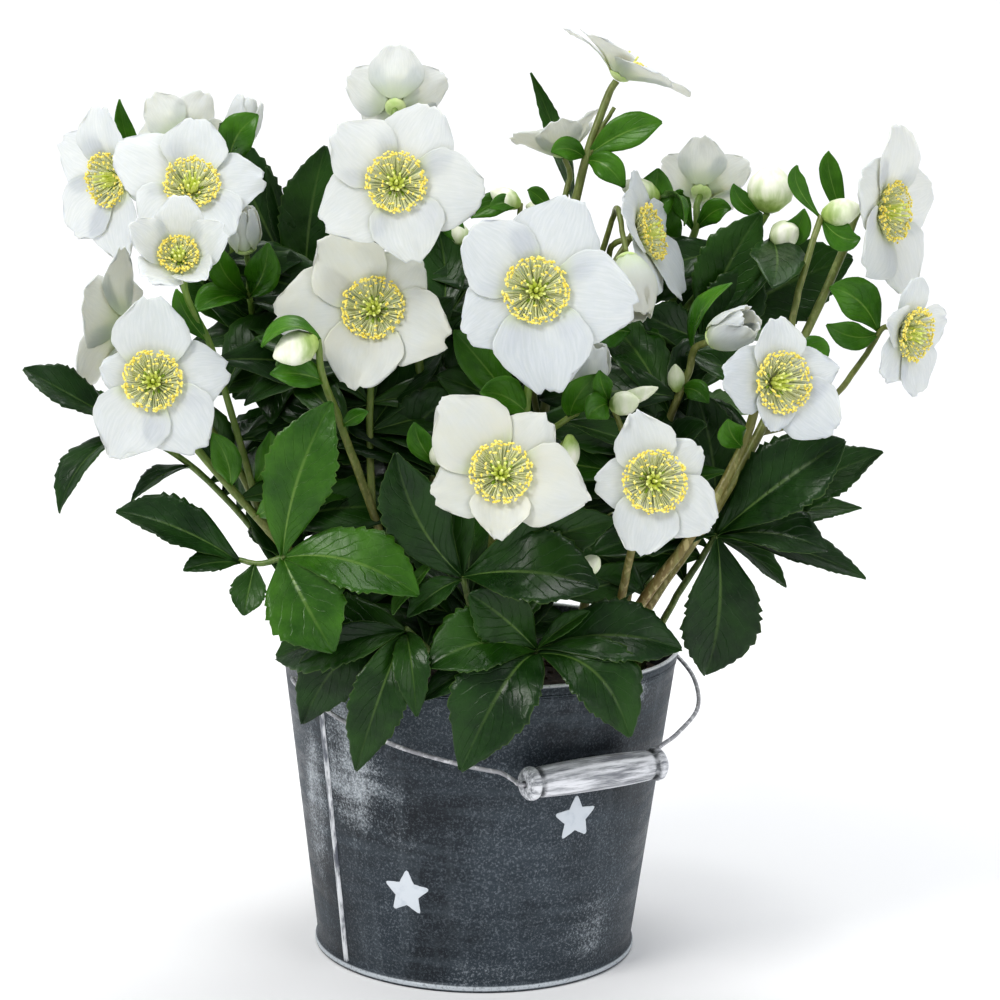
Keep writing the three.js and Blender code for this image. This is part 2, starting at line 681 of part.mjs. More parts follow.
// Each clump: stems as [points, radius at the soil, radius at the end, bloom],
// buds as [base, axis, length, width], and leaves as [base, tip, width, bow, face, plain].
const CLUMPS = {
  stems_left: {
    stems: [
      [[[-46, 14, 128], [-60, 12, 180], [-90, 4, 245], [-122, -2, 306], [-150, 6, 338]],
        2.6, 1.7, 'bloom_01'],
      [[[-112, 0, 288], [-122, -22, 322], [-127, -36, 338]], 1.9, 1.6, 'bloom_02'],
      [[[-122, -2, 306], [-130, -2, 330], [-136, -1, 350]], 1.8, 1.6, 'bloom_03'],
      [[[-110, 0, 284], [-114, -6, 320], [-116, -12, 344]], 1.8, 1.5, 'half_open_1'],
      [[[-100, 3, 264], [-104, -12, 288], [-105, -28, 304]], 1.8, 1.5, 'half_open_2'],
      [[[-97, 3, 259], [-94, -6, 276], [-89, -10, 289]], 1.4, 1.2],
    ],
    buds: [[[-89, -10, 288], [20, -40, 90], 15, 10]],
    leaves: [
      [[-115, -16, 358.5], [-101, -33, 383], 17, [-3, -6, 2], TO_FRONT, 1],
      [[-105, -29, 304], [-118, -50, 330], 13, [-3, -3, -2], TO_FRONT, 1],
      [[-105, -29, 304], [-95, -50, 329], 16, [2, -3, -2], TO_FRONT, 1],
      [[-105, -29, 303], [-126, -54, 299], 17, [0, -4, 4], [-30, -80, 50], 1],
      [[-149, 6, 337], [-164, -14, 388], 10, [-4, 2, 2], TO_FRONT, 1],
    ],
  },
  stems_front_left: {
    stems: [
      [[[-34, -38, 128], [-58, -52, 165], [-86, -62, 198], [-98, -68, 213]], 3, 2.8],
      [[[-96, -67, 210], [-110, -70, 226], [-130, -70, 250]], 2.2, 1.7, 'bloom_08'],
      [[[-94, -66, 208], [-108, -60, 234], [-130, -52, 261], [-147, -46, 280]], 2, 1.6, 'bloom_09'],
      [[[-96, -66, 210], [-106, -62, 245], [-118, -66, 285], [-126, -78, 306]], 1.9, 1.6, 'bloom_04'],
      [[[-34, -38, 128], [-36, -50, 170], [-48, -64, 215], [-60, -80, 252], [-68, -92, 276],
        [-70, -97, 293]], 2.6, 1.7],
      [[[-48, -64, 216], [-50, -56, 255], [-49, -56, 290]], 2, 1.7, 'bloom_07'],
    ],
    buds: [[[-70, -99, 293], [-85, -22, -34], 20, 15]],
    leaves: [
      [[-69, -97, 293], [-93, -104, 290], 15, [0, -1, 7], [-30, -40, 85], 1],
      [[-69, -95, 287], [-88, -92, 281], 11, [0, 2, 3], [-20, 60, 75], 1],
      [[-67, -91, 274], [-90, -97, 278], 14, [2, -2, 2], [-10, -90, 50], 1],
      [[-61, -81, 254], [-49, -90, 262], 7, [0, -1, 1], TO_FRONT, 1],
      [[-119, -68, 288], [-131, -80, 311], 10, [-2, -1, 0], TO_FRONT, 1],
      [[-109, -71, 226], [-116, -80, 250], 13, [3, -3, 0], TO_FRONT, 1],
      [[-98, -68, 212], [-80, -80, 226], 12, [0, -3, 0], TO_FRONT, 1],
      [[-100, -62, 225], [-92, -70, 250], 11, [3, -2, 0], TO_FRONT, 1],
    ],
  },
  stems_middle: {
    stems: [
      [[[0, -30, 128], [-14, -34, 175], [-24, -40, 240], [-32, -48, 300], [-37, -60, 340]],
        2.7, 1.8, 'bloom_06'],
      [[[-2, -28, 128], [-14, -12, 180], [-26, 8, 260], [-36, 20, 330], [-44, 20, 362]],
        2.4, 1.7, 'bloom_05'],
      [[[2, -32, 128], [8, -38, 185], [16, -52, 240], [20, -74, 292]], 2.7, 1.8, 'bloom_10'],
      [[[15, -48, 230], [26, -56, 248], [36, -62, 257]], 1.8, 1.5, 'half_open_4'],
      [[[1, -33, 128], [1, -50, 165], [4, -72, 200], [6, -100, 228]], 2.4, 1.7, 'bloom_11'],
      [[[4, -34, 149], [28, -62, 178], [44, -82, 194]], 1.6, 1.3],
      [[[12, -46, 212], [26, -66, 236], [36, -82, 252]], 1.6, 1.2],
      [[[-20, -38, 214], [-20, -56, 230], [-20, -70, 238]], 1.6, 1.2],
    ],
    buds: [
      [[43, -81, 193], [40, -55, 50], 14, 9],
      [[36, -82, 253], [12, -14, -90], 15, 8],
      [[-20, -69, 237], [10, -60, 60], 14, 9],
    ],
    leaves: [
      [[37, -62, 257], [47, -84, 279], 13, [-3, -4, 0], TO_FRONT, 1],
      [[-20, -68, 236], [-30, -76, 256], 11, [-2, -2, 0], TO_FRONT, 1],
      [[18, -58, 256], [-14, -62, 294], 18, [-2, 0, 3], TO_FRONT, 1],
      [[19, -60, 258], [-2, -84, 270], 17, [0, 2, 3], TO_FRONT, 1],
    ],
  },
  stems_top: {
    stems: [
      [[[14, 8, 128], [20, 4, 190], [28, -2, 258], [36, -4, 330], [43, -3, 366]], 3, 1.9, 'bloom_14'],
      [[[30, -3, 280], [30, 4, 325], [34, 11, 346]], 1.9, 1.5, 'bloom_15'],
      [[[28, -2, 262], [46, -4, 298], [62, 0, 328], [77, 6, 350]], 1.9, 1.6],
      [[[54, -3, 314], [54, -10, 324]], 1.7, 1.6, 'bloom_16'],
      [[[46, -3, 299], [50, -12, 322], [55, -24, 342], [56, -42, 346]], 1.6, 1.4, 'half_open_5'],
      [[[26, 0, 240], [16, 0, 290], [13, -6, 325], [14, -12, 346]], 1.8, 1.4],
      [[[30, 2, 312], [30, -2, 328], [29, -4, 343]], 1.5, 1.2],
      [[[14, 0, 288], [2, -12, 315], [-9, -24, 329]], 1.6, 1.3],
      [[[43, -3, 364], [50, -3, 380], [55, -3, 389]], 1.3, 1.1],
    ],
    buds: [
      [[77, 6, 349], [-80, -10, 26], 19, 12],
      [[14, -12, 345], [-90, -10, 42], 15, 10],
      [[29, -4, 342], [-85, -10, 18], 13, 9],
      [[-9, -24, 328], [-60, -20, 75], 13, 9],
    ],
    leaves: [
      [[43, -3, 366], [27, -14, 369], 11, [0, -2, 3], TO_FRONT, 1],
      [[43, -3, 367], [76, -10, 383], 16, [0, -1, 3], TO_FRONT, 1],
      [[43, -3, 365], [60, -12, 354], 13, [0, -2, 4], TO_FRONT, 1],
      [[64, 1, 331], [76, 8, 362], 20, [3, 3, 0], TO_FRONT, 1],
      [[77, 6, 349], [88, -2, 337], 12, [3, 0, 6], TO_RIGHT, 1],
      [[14, -12, 344], [-8, -10, 339], 11, [0, 0, 4], TO_FRONT, 1],
      [[14, -12, 345], [0, -20, 344], 8, [0, -1, 2], TO_FRONT, 1],
      [[29, -4, 342], [17, -12, 352], 8, [-1, -1, 2], TO_FRONT, 1],
      [[-9, -24, 327], [-19, -28, 346], 10, [-2, -2, 0], TO_FRONT, 1],
    ],
  },
  stems_right: {
    stems: [
      [[[52, -34, 128], [60, -54, 155], [72, -66, 180], [94, -70, 214], [112, -62, 246]],
        3.2, 2.2, 'bloom_13'],
      [[[55, -31, 128], [66, -44, 155], [78, -54, 180], [99, -58, 214], [118, -50, 246], [139, -32, 288],
        [158, -6, 324]], 3.2, 2, 'bloom_18'],
      [[[130, -39, 272], [134, -34, 296], [140, -28, 322], [147, -21, 344]], 2, 1.7],
      [[[120, -48, 250], [140, -34, 254], [158, -22, 266], [171, -12, 282]], 1.8, 1.5, 'bloom_19'],
      [[[58, -46, 148], [62, -72, 188], [67, -92, 222]], 2.4, 1.7, 'bloom_12'],
      [[[62, -42, 155], [72, -40, 212], [82, -42, 256], [89, -45, 277]], 2.4, 1.8, 'half_open_3'],
      [[[72, -41, 214], [64, -60, 240], [54, -79, 266]], 1.8, 1.4],
    ],
    buds: [
      [[147, -21, 344], [92, -6, 20], 18, 13],
      [[84, -44, 267], [-10, -20, 95], 13, 8],
      [[53, -79, 265], [70, -34, 20], 14, 11],
      [[55, -79, 266], [75, -12, 32], 20, 7],
    ],
    leaves: [
      [[147, -21, 343], [135, -26, 366], 8, [-5, 0, 2], TO_FRONT, 1],
      [[147, -21, 343], [164, -26, 335], 13, [0, 0, -4], TO_FRONT, 1],
      [[132, -38, 276], [150, -42, 284], 17, [2, -2, 4], TO_FRONT, 1],
      [[91, -46, 283], [106, -50, 316], 15, [-6, -1, 2], TO_LEFT, 1],
      [[163, 0, 334], [150, -14, 372], 10, [-4, 0, 6], TO_FRONT, 1],
      [[176, -12, 292], [152, -20, 312], 19, [2, -2, 4], TO_FRONT, 1],
      [[176, -12, 291], [151, -24, 296], 13, [0, -2, -3], TO_FRONT, 1],
      [[112, -63, 246], [104, -76, 260], 13, [-2, -2, 0], TO_FRONT, 1],
      [[86, -43, 268], [97, -56, 264], 10, [0, -2, 3], TO_FRONT, 1],
      [[53, -79, 266], [43, -90, 261], 13, [0, -2, 2], TO_FRONT, 1],
      [[53, -79, 267], [48, -86, 281], 9, [-1, -1, 0], TO_FRONT, 1],
    ],
  },
  stems_back: {
    stems: [
      [[[42, 14, 128], [56, 22, 190], [74, 28, 260], [88, 28, 308], [95, 23, 334]],
        2.8, 1.8, 'bloom_17'],
      [[[82, 29, 284], [104, 24, 312], [120, 12, 332], [126, 6, 343]], 2, 1.7],
      [[[108, 22, 316], [124, 8, 324], [128, 2, 332]], 1.7, 1.5],
    ],
    buds: [
      [[126, 6, 343], [8, 0, 100], 22, 22],
      [[128, 2, 331], [60, -50, 35], 15, 14],
    ],
    leaves: [
      [[90, 27, 312], [80, 20, 350], 20, [-6, -3, 2], TO_FRONT, 1],
      [[95, 24, 332], [88, 12, 352], 9, [-4, -2, 4], TO_FRONT, 1],
      [[95, 24, 333], [110, 12, 344], 11, [0, -2, 4], TO_FRONT, 1],
      [[125, 7, 341], [110, 4, 356], 9, [-3, 0, -1], TO_FRONT, 1],
      [[128, 2, 332], [141, -6, 346], 13, [3, 0, -4], TO_FRONT, 1],
    ],
  },
  fronds_left: {
    stems: [
      [[[-66, -14, 128], [-76, -46, 160], [-83, -78, 186], [-84, -97, 201]], 2.1, 1.6],
      [[[-84, -97, 200], [-94, -96, 197], [-103, -93, 198]], 1.6, 1.4],
      [[[-66, -14, 128], [-92, -28, 185], [-126, -46, 228], [-152, -58, 247]], 2.1, 1.5],
    ],
    buds: [],
    leaves: [
      [[-84, -97, 200], [-64, -98, 267], 27, [-4, -3, 0], TO_FRONT],
      [[-84, -97, 200], [-26, -112, 188], 29, [0, -2, 7], FRONT],
      [[-84, -97, 200], [-61, -116, 164], 31, [-2, -3, 3], TO_FRONT],
      [[-102, -94, 197], [-153, -106, 220], 26, [0, -2, 4], LEFT],
      [[-102, -94, 197], [-124, -114, 197], 12, [0, -2, 2], FRONT, 1],
      [[-96, -96, 197], [-99, -112, 178], 14, [0, -3, 0], TO_FRONT, 1],
      [[-152, -58, 247], [-197, -73, 275], 20, [0, -4, 1], LEFT],
      [[-152, -58, 247], [-181, -80, 214], 18, [-4, -4, 6], LEFT],
      [[-152, -58, 247], [-181, -52, 262], 12, [0, 0, 2], LEFT, 1],
      [[-128, -47, 230], [-153, -60, 216], 13, [0, -2, 4], LEFT, 1],
      [[-150, -57, 246], [-128, -40, 282], 22, [0, 3, 0], TO_FRONT, 1],
    ],
  },
  fronds_front: {
    stems: [
      [[[14, -66, 128], [18, -82, 148], [24, -94, 161]], 2.2, 1.7],
      [[[10, -64, 128], [0, -76, 160], [-8, -90, 192]], 2.1, 1.6],
      [[[6, -66, 128], [-14, -80, 150], [-32, -90, 169]], 2.1, 1.6],
    ],
    buds: [],
    leaves: [
      [[24, -94, 160], [-7, -113, 113], 33, [2, -9, 14], FRONT],
      [[24, -94, 160], [64, -112, 129], 28, [4, -7, 12], FRONT],
      [[24, -94, 161], [-22, -108, 156], 28, [0, -3, 8], FRONT],
      [[24, -94, 162], [86, -94, 163], 28, [0, -4, 7], FRONT],
      [[24, -94, 162], [-5, -102, 187], 24, [0, -1, 2], TO_FRONT, 1],
      [[24, -94, 162], [46, -104, 181], 9, [0, -2, 2], FRONT, 1],
      [[23, -94, 160], [-24, -104, 141], 18, [0, -3, 6], FRONT, 1],
      [[-8, -90, 192], [49, -112, 193], 33, [0, -4, 5], FRONT],
      [[-6, -90, 194], [56, -96, 219], 22, [0, -2, 3], TO_FRONT, 1],
      [[-8, -90, 192], [-37, -98, 246], 25, [-4, -2, -3], TO_FRONT],
      [[-8, -90, 191], [-31, -100, 176], 12, [0, -3, 3], FRONT, 1],
      [[-32, -90, 168], [-88, -78, 152], 35, [2, -8, 6], FRONT],
      [[-32, -90, 167], [-76, -82, 124], 25, [-3, -10, 12], TO_FRONT],
      [[-32, -90, 167], [-52, -98, 108], 21, [1, -14, 9], TO_FRONT],
      [[-32, -90, 167], [-26, -112, 136], 15, [0, -6, 8], TO_FRONT, 1],
    ],
  },
  fronds_right: {
    stems: [
      [[[72, -4, 128], [84, -30, 165], [97, -48, 194], [103, -54, 206]], 2.1, 1.7],
      [[[72, 0, 128], [80, 8, 190], [92, 8, 250], [98, 2, 287]], 2.2, 1.6],
    ],
    buds: [],
    leaves: [
      [[103, -54, 206], [156, -64, 250], 32, [0, -4, 3], RIGHT],
      [[103, -54, 205], [176, -42, 242], 24, [0, 3, 2], RIGHT],
      [[103, -54, 205], [170, -26, 214], 14, [0, 3, 3], RIGHT, 1],
      [[103, -54, 205], [150, -66, 202], 27, [0, -4, 5], RIGHT],
      [[104, -53, 205], [170, -48, 186], 20, [0, 1, 4], RIGHT, 1],
      [[103, -54, 204], [136, -40, 180], 16, [0, 2, 3], RIGHT, 1],
      [[103, -54, 205], [100, -56, 143], 32, [3, -6, 0], [20, -95, 10]],
      [[102, -52, 206], [91, -46, 270], 23, [4, 2, 0], TO_FRONT],
      [[98, 2, 287], [122, -6, 344], 26, [-3, 3, 0], TO_FRONT],
      [[98, 1, 286], [135, -8, 327], 8, [2, -3, 0], TO_LEFT, 1],
      [[98, 2, 286], [120, 0, 321], 26, [2, -1, -2], TO_FRONT, 1],
      [[98, 2, 286], [168, 24, 322], 33, [0, 4, 4], TO_FRONT],
      [[97, 2, 286], [68, -20, 300], 20, [0, -1, -1], TO_FRONT],
      [[98, 4, 284], [146, 24, 280], 24, [0, 4, 6], BACK, 1],
    ],
  },
  fronds_middle: {
    stems: [
      [[[-20, 30, 128], [-38, 22, 200], [-64, 10, 262], [-82, 2, 298]], 2.2, 1.6],
      [[[-16, 28, 128], [-14, 8, 200], [-16, -14, 262], [-20, -26, 294]], 2.1, 1.5],
      [[[-24, 26, 128], [-30, -6, 175], [-40, -28, 215], [-44, -38, 236]], 2.1, 1.5],
    ],
    buds: [],
    leaves: [
      [[-82, 2, 297], [-122, 14, 378], 25, [-2, 3, 0], TO_FRONT],
      [[-82, 2, 298], [-101, 8, 359], 10, [0, 2, 0], TO_FRONT, 1],
      [[-82, 2, 298], [-74, 4, 369], 25, [-3, 0, 0], TO_FRONT],
      [[-80, 3, 296], [-44, 8, 346], 24, [0, 2, 2], TO_FRONT, 1],
      [[-80, 3, 293], [-116, 16, 252], 28, [0, 7, 0], TO_FRONT, 1],
      [[-62, 12, 256], [-110, 18, 222], 27, [0, 6, 2], TO_FRONT, 1],
      [[-58, 14, 250], [-88, 24, 204], 25, [0, 5, 0], TO_FRONT, 1],
      [[-20, -26, 293], [-24, -10, 338], 19, [3, 5, 0], TO_FRONT, 1],
      [[-20, -26, 292], [2, 8, 330], 22, [2, 6, 0], TO_FRONT, 1],
      [[-20, -26, 291], [-4, -34, 262], 18, [2, -3, 4], TO_FRONT, 1],
      [[-20, -26, 292], [-37, -36, 260], 19, [0, -2, 2], TO_FRONT, 1],
      [[-44, -38, 235], [-76, -44, 280], 25, [0, -2, 0], TO_FRONT],
      [[-44, -38, 235], [-12, -58, 268], 22, [0, -8, 2], TO_FRONT, 1],
      [[-44, -38, 234], [-78, -46, 236], 22, [0, -3, 5], FRONT, 1],
      [[-41, -31, 219], [-97, -44, 209], 18, [0, -1, 5], FRONT, 1],
    ],
  },
  fronds_back: {
    stems: [
      [[[18, 58, 128], [14, 84, 175], [6, 104, 212]], 2.3, 1.7],
      [[[22, 58, 128], [52, 78, 180], [84, 88, 226]], 2.3, 1.7],
      [[[14, 58, 128], [-24, 78, 180], [-64, 84, 232]], 2.3, 1.7],
      [[[20, 56, 128], [18, 60, 200], [10, 66, 262]], 2.3, 1.7],
    ],
    buds: [],
    leaves: [
      [[6, 104, 212], [4, 158, 196], 30, [0, 3, 8], BACK],
      [[6, 104, 212], [-34, 142, 214], 27, [0, 3, 7], BACK],
      [[6, 104, 212], [44, 142, 216], 27, [0, 3, 7], BACK],
      [[84, 88, 226], [132, 118, 206], 28, [0, 3, 8], BACK],
      [[84, 88, 226], [92, 136, 222], 26, [0, 3, 7], BACK],
      [[84, 88, 226], [140, 82, 244], 25, [0, 3, 5], BACK, 1],
      [[-64, 84, 232], [-116, 106, 214], 28, [0, 3, 8], BACK],
      [[-64, 84, 232], [-70, 132, 226], 26, [0, 3, 7], BACK],
      [[-64, 84, 232], [-118, 74, 252], 25, [0, 3, 5], BACK, 1],
      [[10, 66, 262], [36, 84, 306], 24, [0, 4, 2], BACK, 1],
      [[10, 66, 262], [-22, 84, 300], 24, [0, 4, 2], BACK, 1],
      [[10, 66, 262], [14, 110, 272], 26, [0, 3, 6], BACK, 1],
    ],
  },
};

function clump(name) {
  const { stems, buds, leaves } = CLUMPS[name];
  const parts = [crownKnob(CROWNS[name]), ...stems.map(stem)];
  for (const leaf of leaves) {
    const plain = name.startsWith('stems') ? BRACT_ROWS : PLAIN_ROWS;
    parts.push(leaflet(leaf, leaf[5] ? plain : LEAF_ROWS));
  }
  for (const [base, axis, length, width] of buds) parts.push(drop(vec(base), vec(axis), length, width));
  return join(parts);
}

// ---------- assembly ----------
place('bucket', bucket(), 'zinc');
place('soil', soil(), 'soil');
place('ear_left', ear(-1), 'zinc');
place('ear_right', ear(1), 'zinc');
place('bail_wire', bailWire(), 'wire');
place('grip', grip(), 'wood');
for (const [index, [name, bloom]] of Object.entries(BLOOMS).entries()) {
  place(name, bloom.form === CUP ? cup(bloom) : petals(bloom, index), 'petal');
  place(name.replace('bloom', 'stamens'), stamens(bloom), 'stamens');
}
for (const [name, bloom] of Object.entries(HALF_OPEN)) place(name, cup(bloom), 'petal');
for (const name of Object.keys(CLUMPS)) {
  place(name, clump(name), name.startsWith('stems') ? 'stem' : 'leaf');
}

export default model;
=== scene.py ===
"""A Christmas rose in flower in a zinc bucket with a wire bail and a wooden grip: its fine surfaces.

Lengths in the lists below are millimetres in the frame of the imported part, as in the part's own source.
"""
import math

import bpy
import numpy as np
from mathutils import Matrix, Vector


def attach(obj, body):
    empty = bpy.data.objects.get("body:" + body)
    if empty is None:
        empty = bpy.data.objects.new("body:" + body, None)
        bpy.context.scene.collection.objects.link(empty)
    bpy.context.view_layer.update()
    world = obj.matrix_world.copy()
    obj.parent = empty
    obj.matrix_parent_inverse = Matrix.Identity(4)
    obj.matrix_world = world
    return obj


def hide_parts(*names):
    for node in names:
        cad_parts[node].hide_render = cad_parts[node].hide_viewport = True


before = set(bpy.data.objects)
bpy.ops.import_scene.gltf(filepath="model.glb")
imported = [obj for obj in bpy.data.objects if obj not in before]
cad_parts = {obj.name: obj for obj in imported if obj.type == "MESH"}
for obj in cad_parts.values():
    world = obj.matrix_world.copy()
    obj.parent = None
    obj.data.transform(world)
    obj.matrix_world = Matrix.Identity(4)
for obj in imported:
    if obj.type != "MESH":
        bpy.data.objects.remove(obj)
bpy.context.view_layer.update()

MM = 0.001
DEG = math.pi / 180
UP = np.array([0.0, 0.0, 1.0])

# ---------- sizes shared with the solids ----------
BUCKET_HEIGHT = 144.5
BASE_RADIUS = 73
RIM_RADIUS = 91.5
FOOT_RADIUS = 74.8
SEAM_AZIMUTH = -51.6
SOIL_TOP = 128
BAIL_AZIMUTH = 32
PIVOT_HEIGHT = 136
LEAN = 71.5
BAIL_RADIUS = 98
GRIP_HALF = 36
GRIP_REACH = 101
EAR_REACH = 96

# Heights of the receptacle's ends along the axis of a bloom, and the room left between two pieces.
HUB_FRONT = 0.7
HUB_BACK = -2.4
GAP = 0.35
# Distance of a petal's base from the axis, and half its width there.
PETAL_START = 4.2
PETAL_FOOT = 1.6
# How far a petal's edge stands off its neighbour's at its base, and beyond a third of its length.
LAP_FOOT = 0.6
LAP_EDGE = 1.35
# How far behind a bloom its stem turns into line with it.
NECK = 11
# How many leaflets are added inside a clump that names no number.
INNER_LEAVES = 22

# ---------- blooms ----------
# Slopes of a petal above the flower's plane, in degrees, at its base, middle and tip.
OPEN = (34, 14, -6)
SHALLOW = (36, 24, 8)
BOWL = (30, 46, 30)
CUP = (24, 60, 48)
CLOSED = (50, 92, 116)


def flower(at, face, form, petals, size=1):
    """A bloom at a point, looking along face, with stamens of the given size.

    petals: (angle from the front, length, how pointed its tip is).
    """
    return {"at": at, "face": face, "form": form, "petals": petals, "size": size}


def evenly(first, length):
    """Five equal petals, the first at the given angle."""
    return [(first + 72 * k, length) for k in range(5)]


# Which edges of each petal lie over, 1, or under, -1, its neighbours.
EDGES = ((-1, -1), (1, 1), (-1, -1), (1, 1), (-1, 1))
BLOOMS = {
    "bloom_01": flower((-166, -8, 353), (-62, -78, -5), OPEN,
        [(18, 29), (93, 30), (152, 30), (226, 31), (284, 34)], 0.95),
    "bloom_02": flower((-128, -52, 351), (12, -80, 52), OPEN,
        [(3, 29), (85, 29), (152, 34), (228, 28), (300, 28)], 0.95),
    "bloom_03": flower((-140, 16, 369), (-8, 80, 45), BOWL, evenly(50, 22), 0.8),
    "bloom_04": flower((-128, -95, 325), (4, -85, 46), CUP, evenly(90, 25), 0.66),
    "bloom_05": flower((-44, 34, 386), (3, 85, 40), BOWL, evenly(90, 26), 0.9),
    "bloom_06": flower((-39, -82, 357), (2, -98, 17), OPEN,
        [(64, 33), (139, 31), (212, 33), (286, 32, 0.3), (352, 35)]),
    "bloom_07": flower((-48, -68, 303), (-5, -97, 20), SHALLOW,
        [(48, 28), (125, 35, 0.3), (188, 41), (261, 35), (335, 35)], 1.05),
    "bloom_08": flower((-140, -85, 272), (5, -97, 20), OPEN,
        [(8, 30), (92, 33), (165, 20, 0.5), (243, 34, 0.8), (305, 33)]),
    "bloom_09": flower((-158, -40, 290), (-91, 27, 12), OPEN, evenly(96, 32), 0.95),
    "bloom_10": flower((20, -100, 315), (0, -98, 18), OPEN,
        [(69, 39), (140, 35), (214, 33), (279, 41), (352, 40)], 1.08),
    "bloom_11": flower((7, -130, 243), (0, -95, 28), OPEN,
        [(52, 27), (129, 36, 0.7), (201, 27), (270, 25, 0.8), (344, 35, 1)]),
    "bloom_12": flower((70, -115, 239), (5, -98, 15), OPEN,
        [(38, 21), (106, 27, 0.8), (184, 22), (258, 28), (322, 28)], 1.05),
    "bloom_13": flower((123, -75, 276), (40, -90, 15), SHALLOW,
        [(12, 25, 1), (98, 26), (174, 29), (250, 20, 0.5), (316, 30)], 1.05),
    "bloom_14": flower((57, 2, 403), (45, 5, 85), OPEN, evenly(60, 31), 0.95),
    "bloom_15": flower((33, 14, 368), (-30, 10, 92), BOWL, evenly(20, 22), 0.8),
    "bloom_16": flower((66, -20, 333), (87, -36, 31), OPEN,
        [(86, 26), (159, 30), (231, 32, 0.6), (303, 34), (15, 23)]),
    "bloom_17": flower((98, 34, 350), (22, 72, 52), BOWL, evenly(90, 23), 0.7),
    "bloom_18": flower((176, 0, 345), (80, -60, 4), OPEN,
        [(15, 33), (90, 37), (155, 35), (222, 36), (290, 37)], 1.08),
    "bloom_19": flower((186, -20, 293), (72, -68, -8), OPEN,
        [(92, 23), (160, 20), (225, 24), (290, 27), (10, 22)], 0.95),
}
# Blooms still closed or half open.
HALF_OPEN = {
    "half_open_1": flower((-112, -14, 370), (22, 15, 80), CLOSED, evenly(90, 22)),
    "half_open_2": flower((-106, -36, 325), (-12, -20, 80), CLOSED, evenly(90, 20)),
    "half_open_3": flower((98, -56, 292), (65, -55, 45), CLOSED, evenly(90, 24)),
    "half_open_4": flower((42, -66, 271), (15, -15, 80), CLOSED, evenly(90, 22)),
    "half_open_5": flower((60, -52, 326), (16, -40, -85), CLOSED, evenly(90, 30)),
}

# ---------- stems and leaves ----------
# Ways that the upper side of a leaf faces.
FRONT = (0, -70, 70)
LEFT = (-45, -45, 75)
RIGHT = (40, -55, 72)
BACK = (0, 65, 75)
TO_FRONT = (0, -100, 20)
TO_LEFT = (-90, -30, 30)
TO_RIGHT = (90, -30, 30)
CLUMPS = {}


def add_clump(name, crown, stems, fans, buds=(), inner=INNER_LEAVES):
    """Stems and leaves that leave the soil together.

    crown: x, y and radius where they do.
    stems: (points, radius at the soil, radius at the end, the bloom it carries).
    fans: (base of the leaves, then each of them as (tip, width, bow, face, plain)). One without a face
    is plain and faces TO_FRONT.
    buds: (base, axis, length, width).
    inner: how many more leaflets grow from its stems, deep inside the plant.
    """
    leaves = [(fan[0], *leaf) for fan in fans for leaf in fan[1:]]
    CLUMPS[name] = {"crown": crown, "stems": stems, "leaves": leaves, "buds": buds, "inner": inner}


add_clump("stems_left", (-46, 14, 9), stems=[
    ([(-46, 14, 128), (-60, 12, 180), (-90, 4, 245), (-122, -2, 306),
      (-150, 6, 338)], 2.6, 1.7, "bloom_01"),
    ([(-112, 0, 288), (-122, -22, 322), (-127, -36, 338)], 1.9, 1.6, "bloom_02"),
    ([(-122, -2, 306), (-130, -2, 330), (-136, -1, 350)], 1.8, 1.6, "bloom_03"),
    ([(-110, 0, 284), (-114, -6, 320), (-116, -12, 344)], 1.8, 1.5, "half_open_1"),
    ([(-100, 3, 264), (-104, -12, 288), (-105, -28, 304)], 1.8, 1.5, "half_open_2"),
    ([(-97, 3, 259), (-94, -6, 276), (-89, -10, 289)], 1.4, 1.2),
], fans=[
    ((-115, -16, 358.5), ((-101, -33, 383), 17, (-3, -6, 2))),
    ((-105, -29, 304), ((-118, -50, 330), 13, (-3, -3, -2)), ((-95, -50, 329), 16, (2, -3, -2))),
    ((-105, -29, 303), ((-126, -54, 299), 17, (0, -4, 4), (-30, -80, 50), 1)),
    ((-149, 6, 337), ((-164, -14, 388), 10, (-4, 2, 2))),
], buds=[
    ((-89, -10, 288), (20, -40, 90), 15, 10),
], inner=34)
add_clump("stems_front_left", (-34, -38, 9), stems=[
    ([(-34, -38, 128), (-58, -52, 165), (-86, -62, 198), (-98, -68, 213)], 3, 2.8),
    ([(-96, -67, 210), (-110, -70, 226), (-130, -70, 250)], 2.2, 1.7, "bloom_08"),
    ([(-94, -66, 208), (-108, -60, 234), (-130, -52, 261), (-147, -46, 280)], 2, 1.6, "bloom_09"),
    ([(-96, -66, 210), (-106, -62, 245), (-118, -66, 285), (-126, -78, 306)], 1.9, 1.6, "bloom_04"),
    ([(-34, -38, 128), (-36, -50, 170), (-48, -64, 215), (-60, -80, 252), (-68, -92, 276),
      (-70, -97, 293)], 2.6, 1.7),
    ([(-48, -64, 216), (-50, -56, 255), (-49, -56, 290)], 2, 1.7, "bloom_07"),
], fans=[
    ((-69, -97, 293), ((-93, -104, 290), 15, (0, -1, 7), (-30, -40, 85), 1)),
    ((-69, -95, 287), ((-88, -92, 281), 11, (0, 2, 3), (-20, 60, 75), 1)),
    ((-67, -91, 274), ((-90, -97, 278), 14, (2, -2, 2), (-10, -90, 50), 1)),
    ((-61, -81, 254), ((-49, -90, 262), 7, (0, -1, 1))),
    ((-119, -68, 288), ((-131, -80, 311), 10, (-2, -1, 0))),
    ((-109, -71, 226), ((-116, -80, 250), 13, (3, -3, 0))),
    ((-98, -68, 212), ((-80, -80, 226), 12, (0, -3, 0))),
    ((-100, -62, 225), ((-92, -70, 250), 11, (3, -2, 0))),
], buds=[
    ((-70, -99, 293), (-85, -22, -34), 20, 15),
], inner=26)
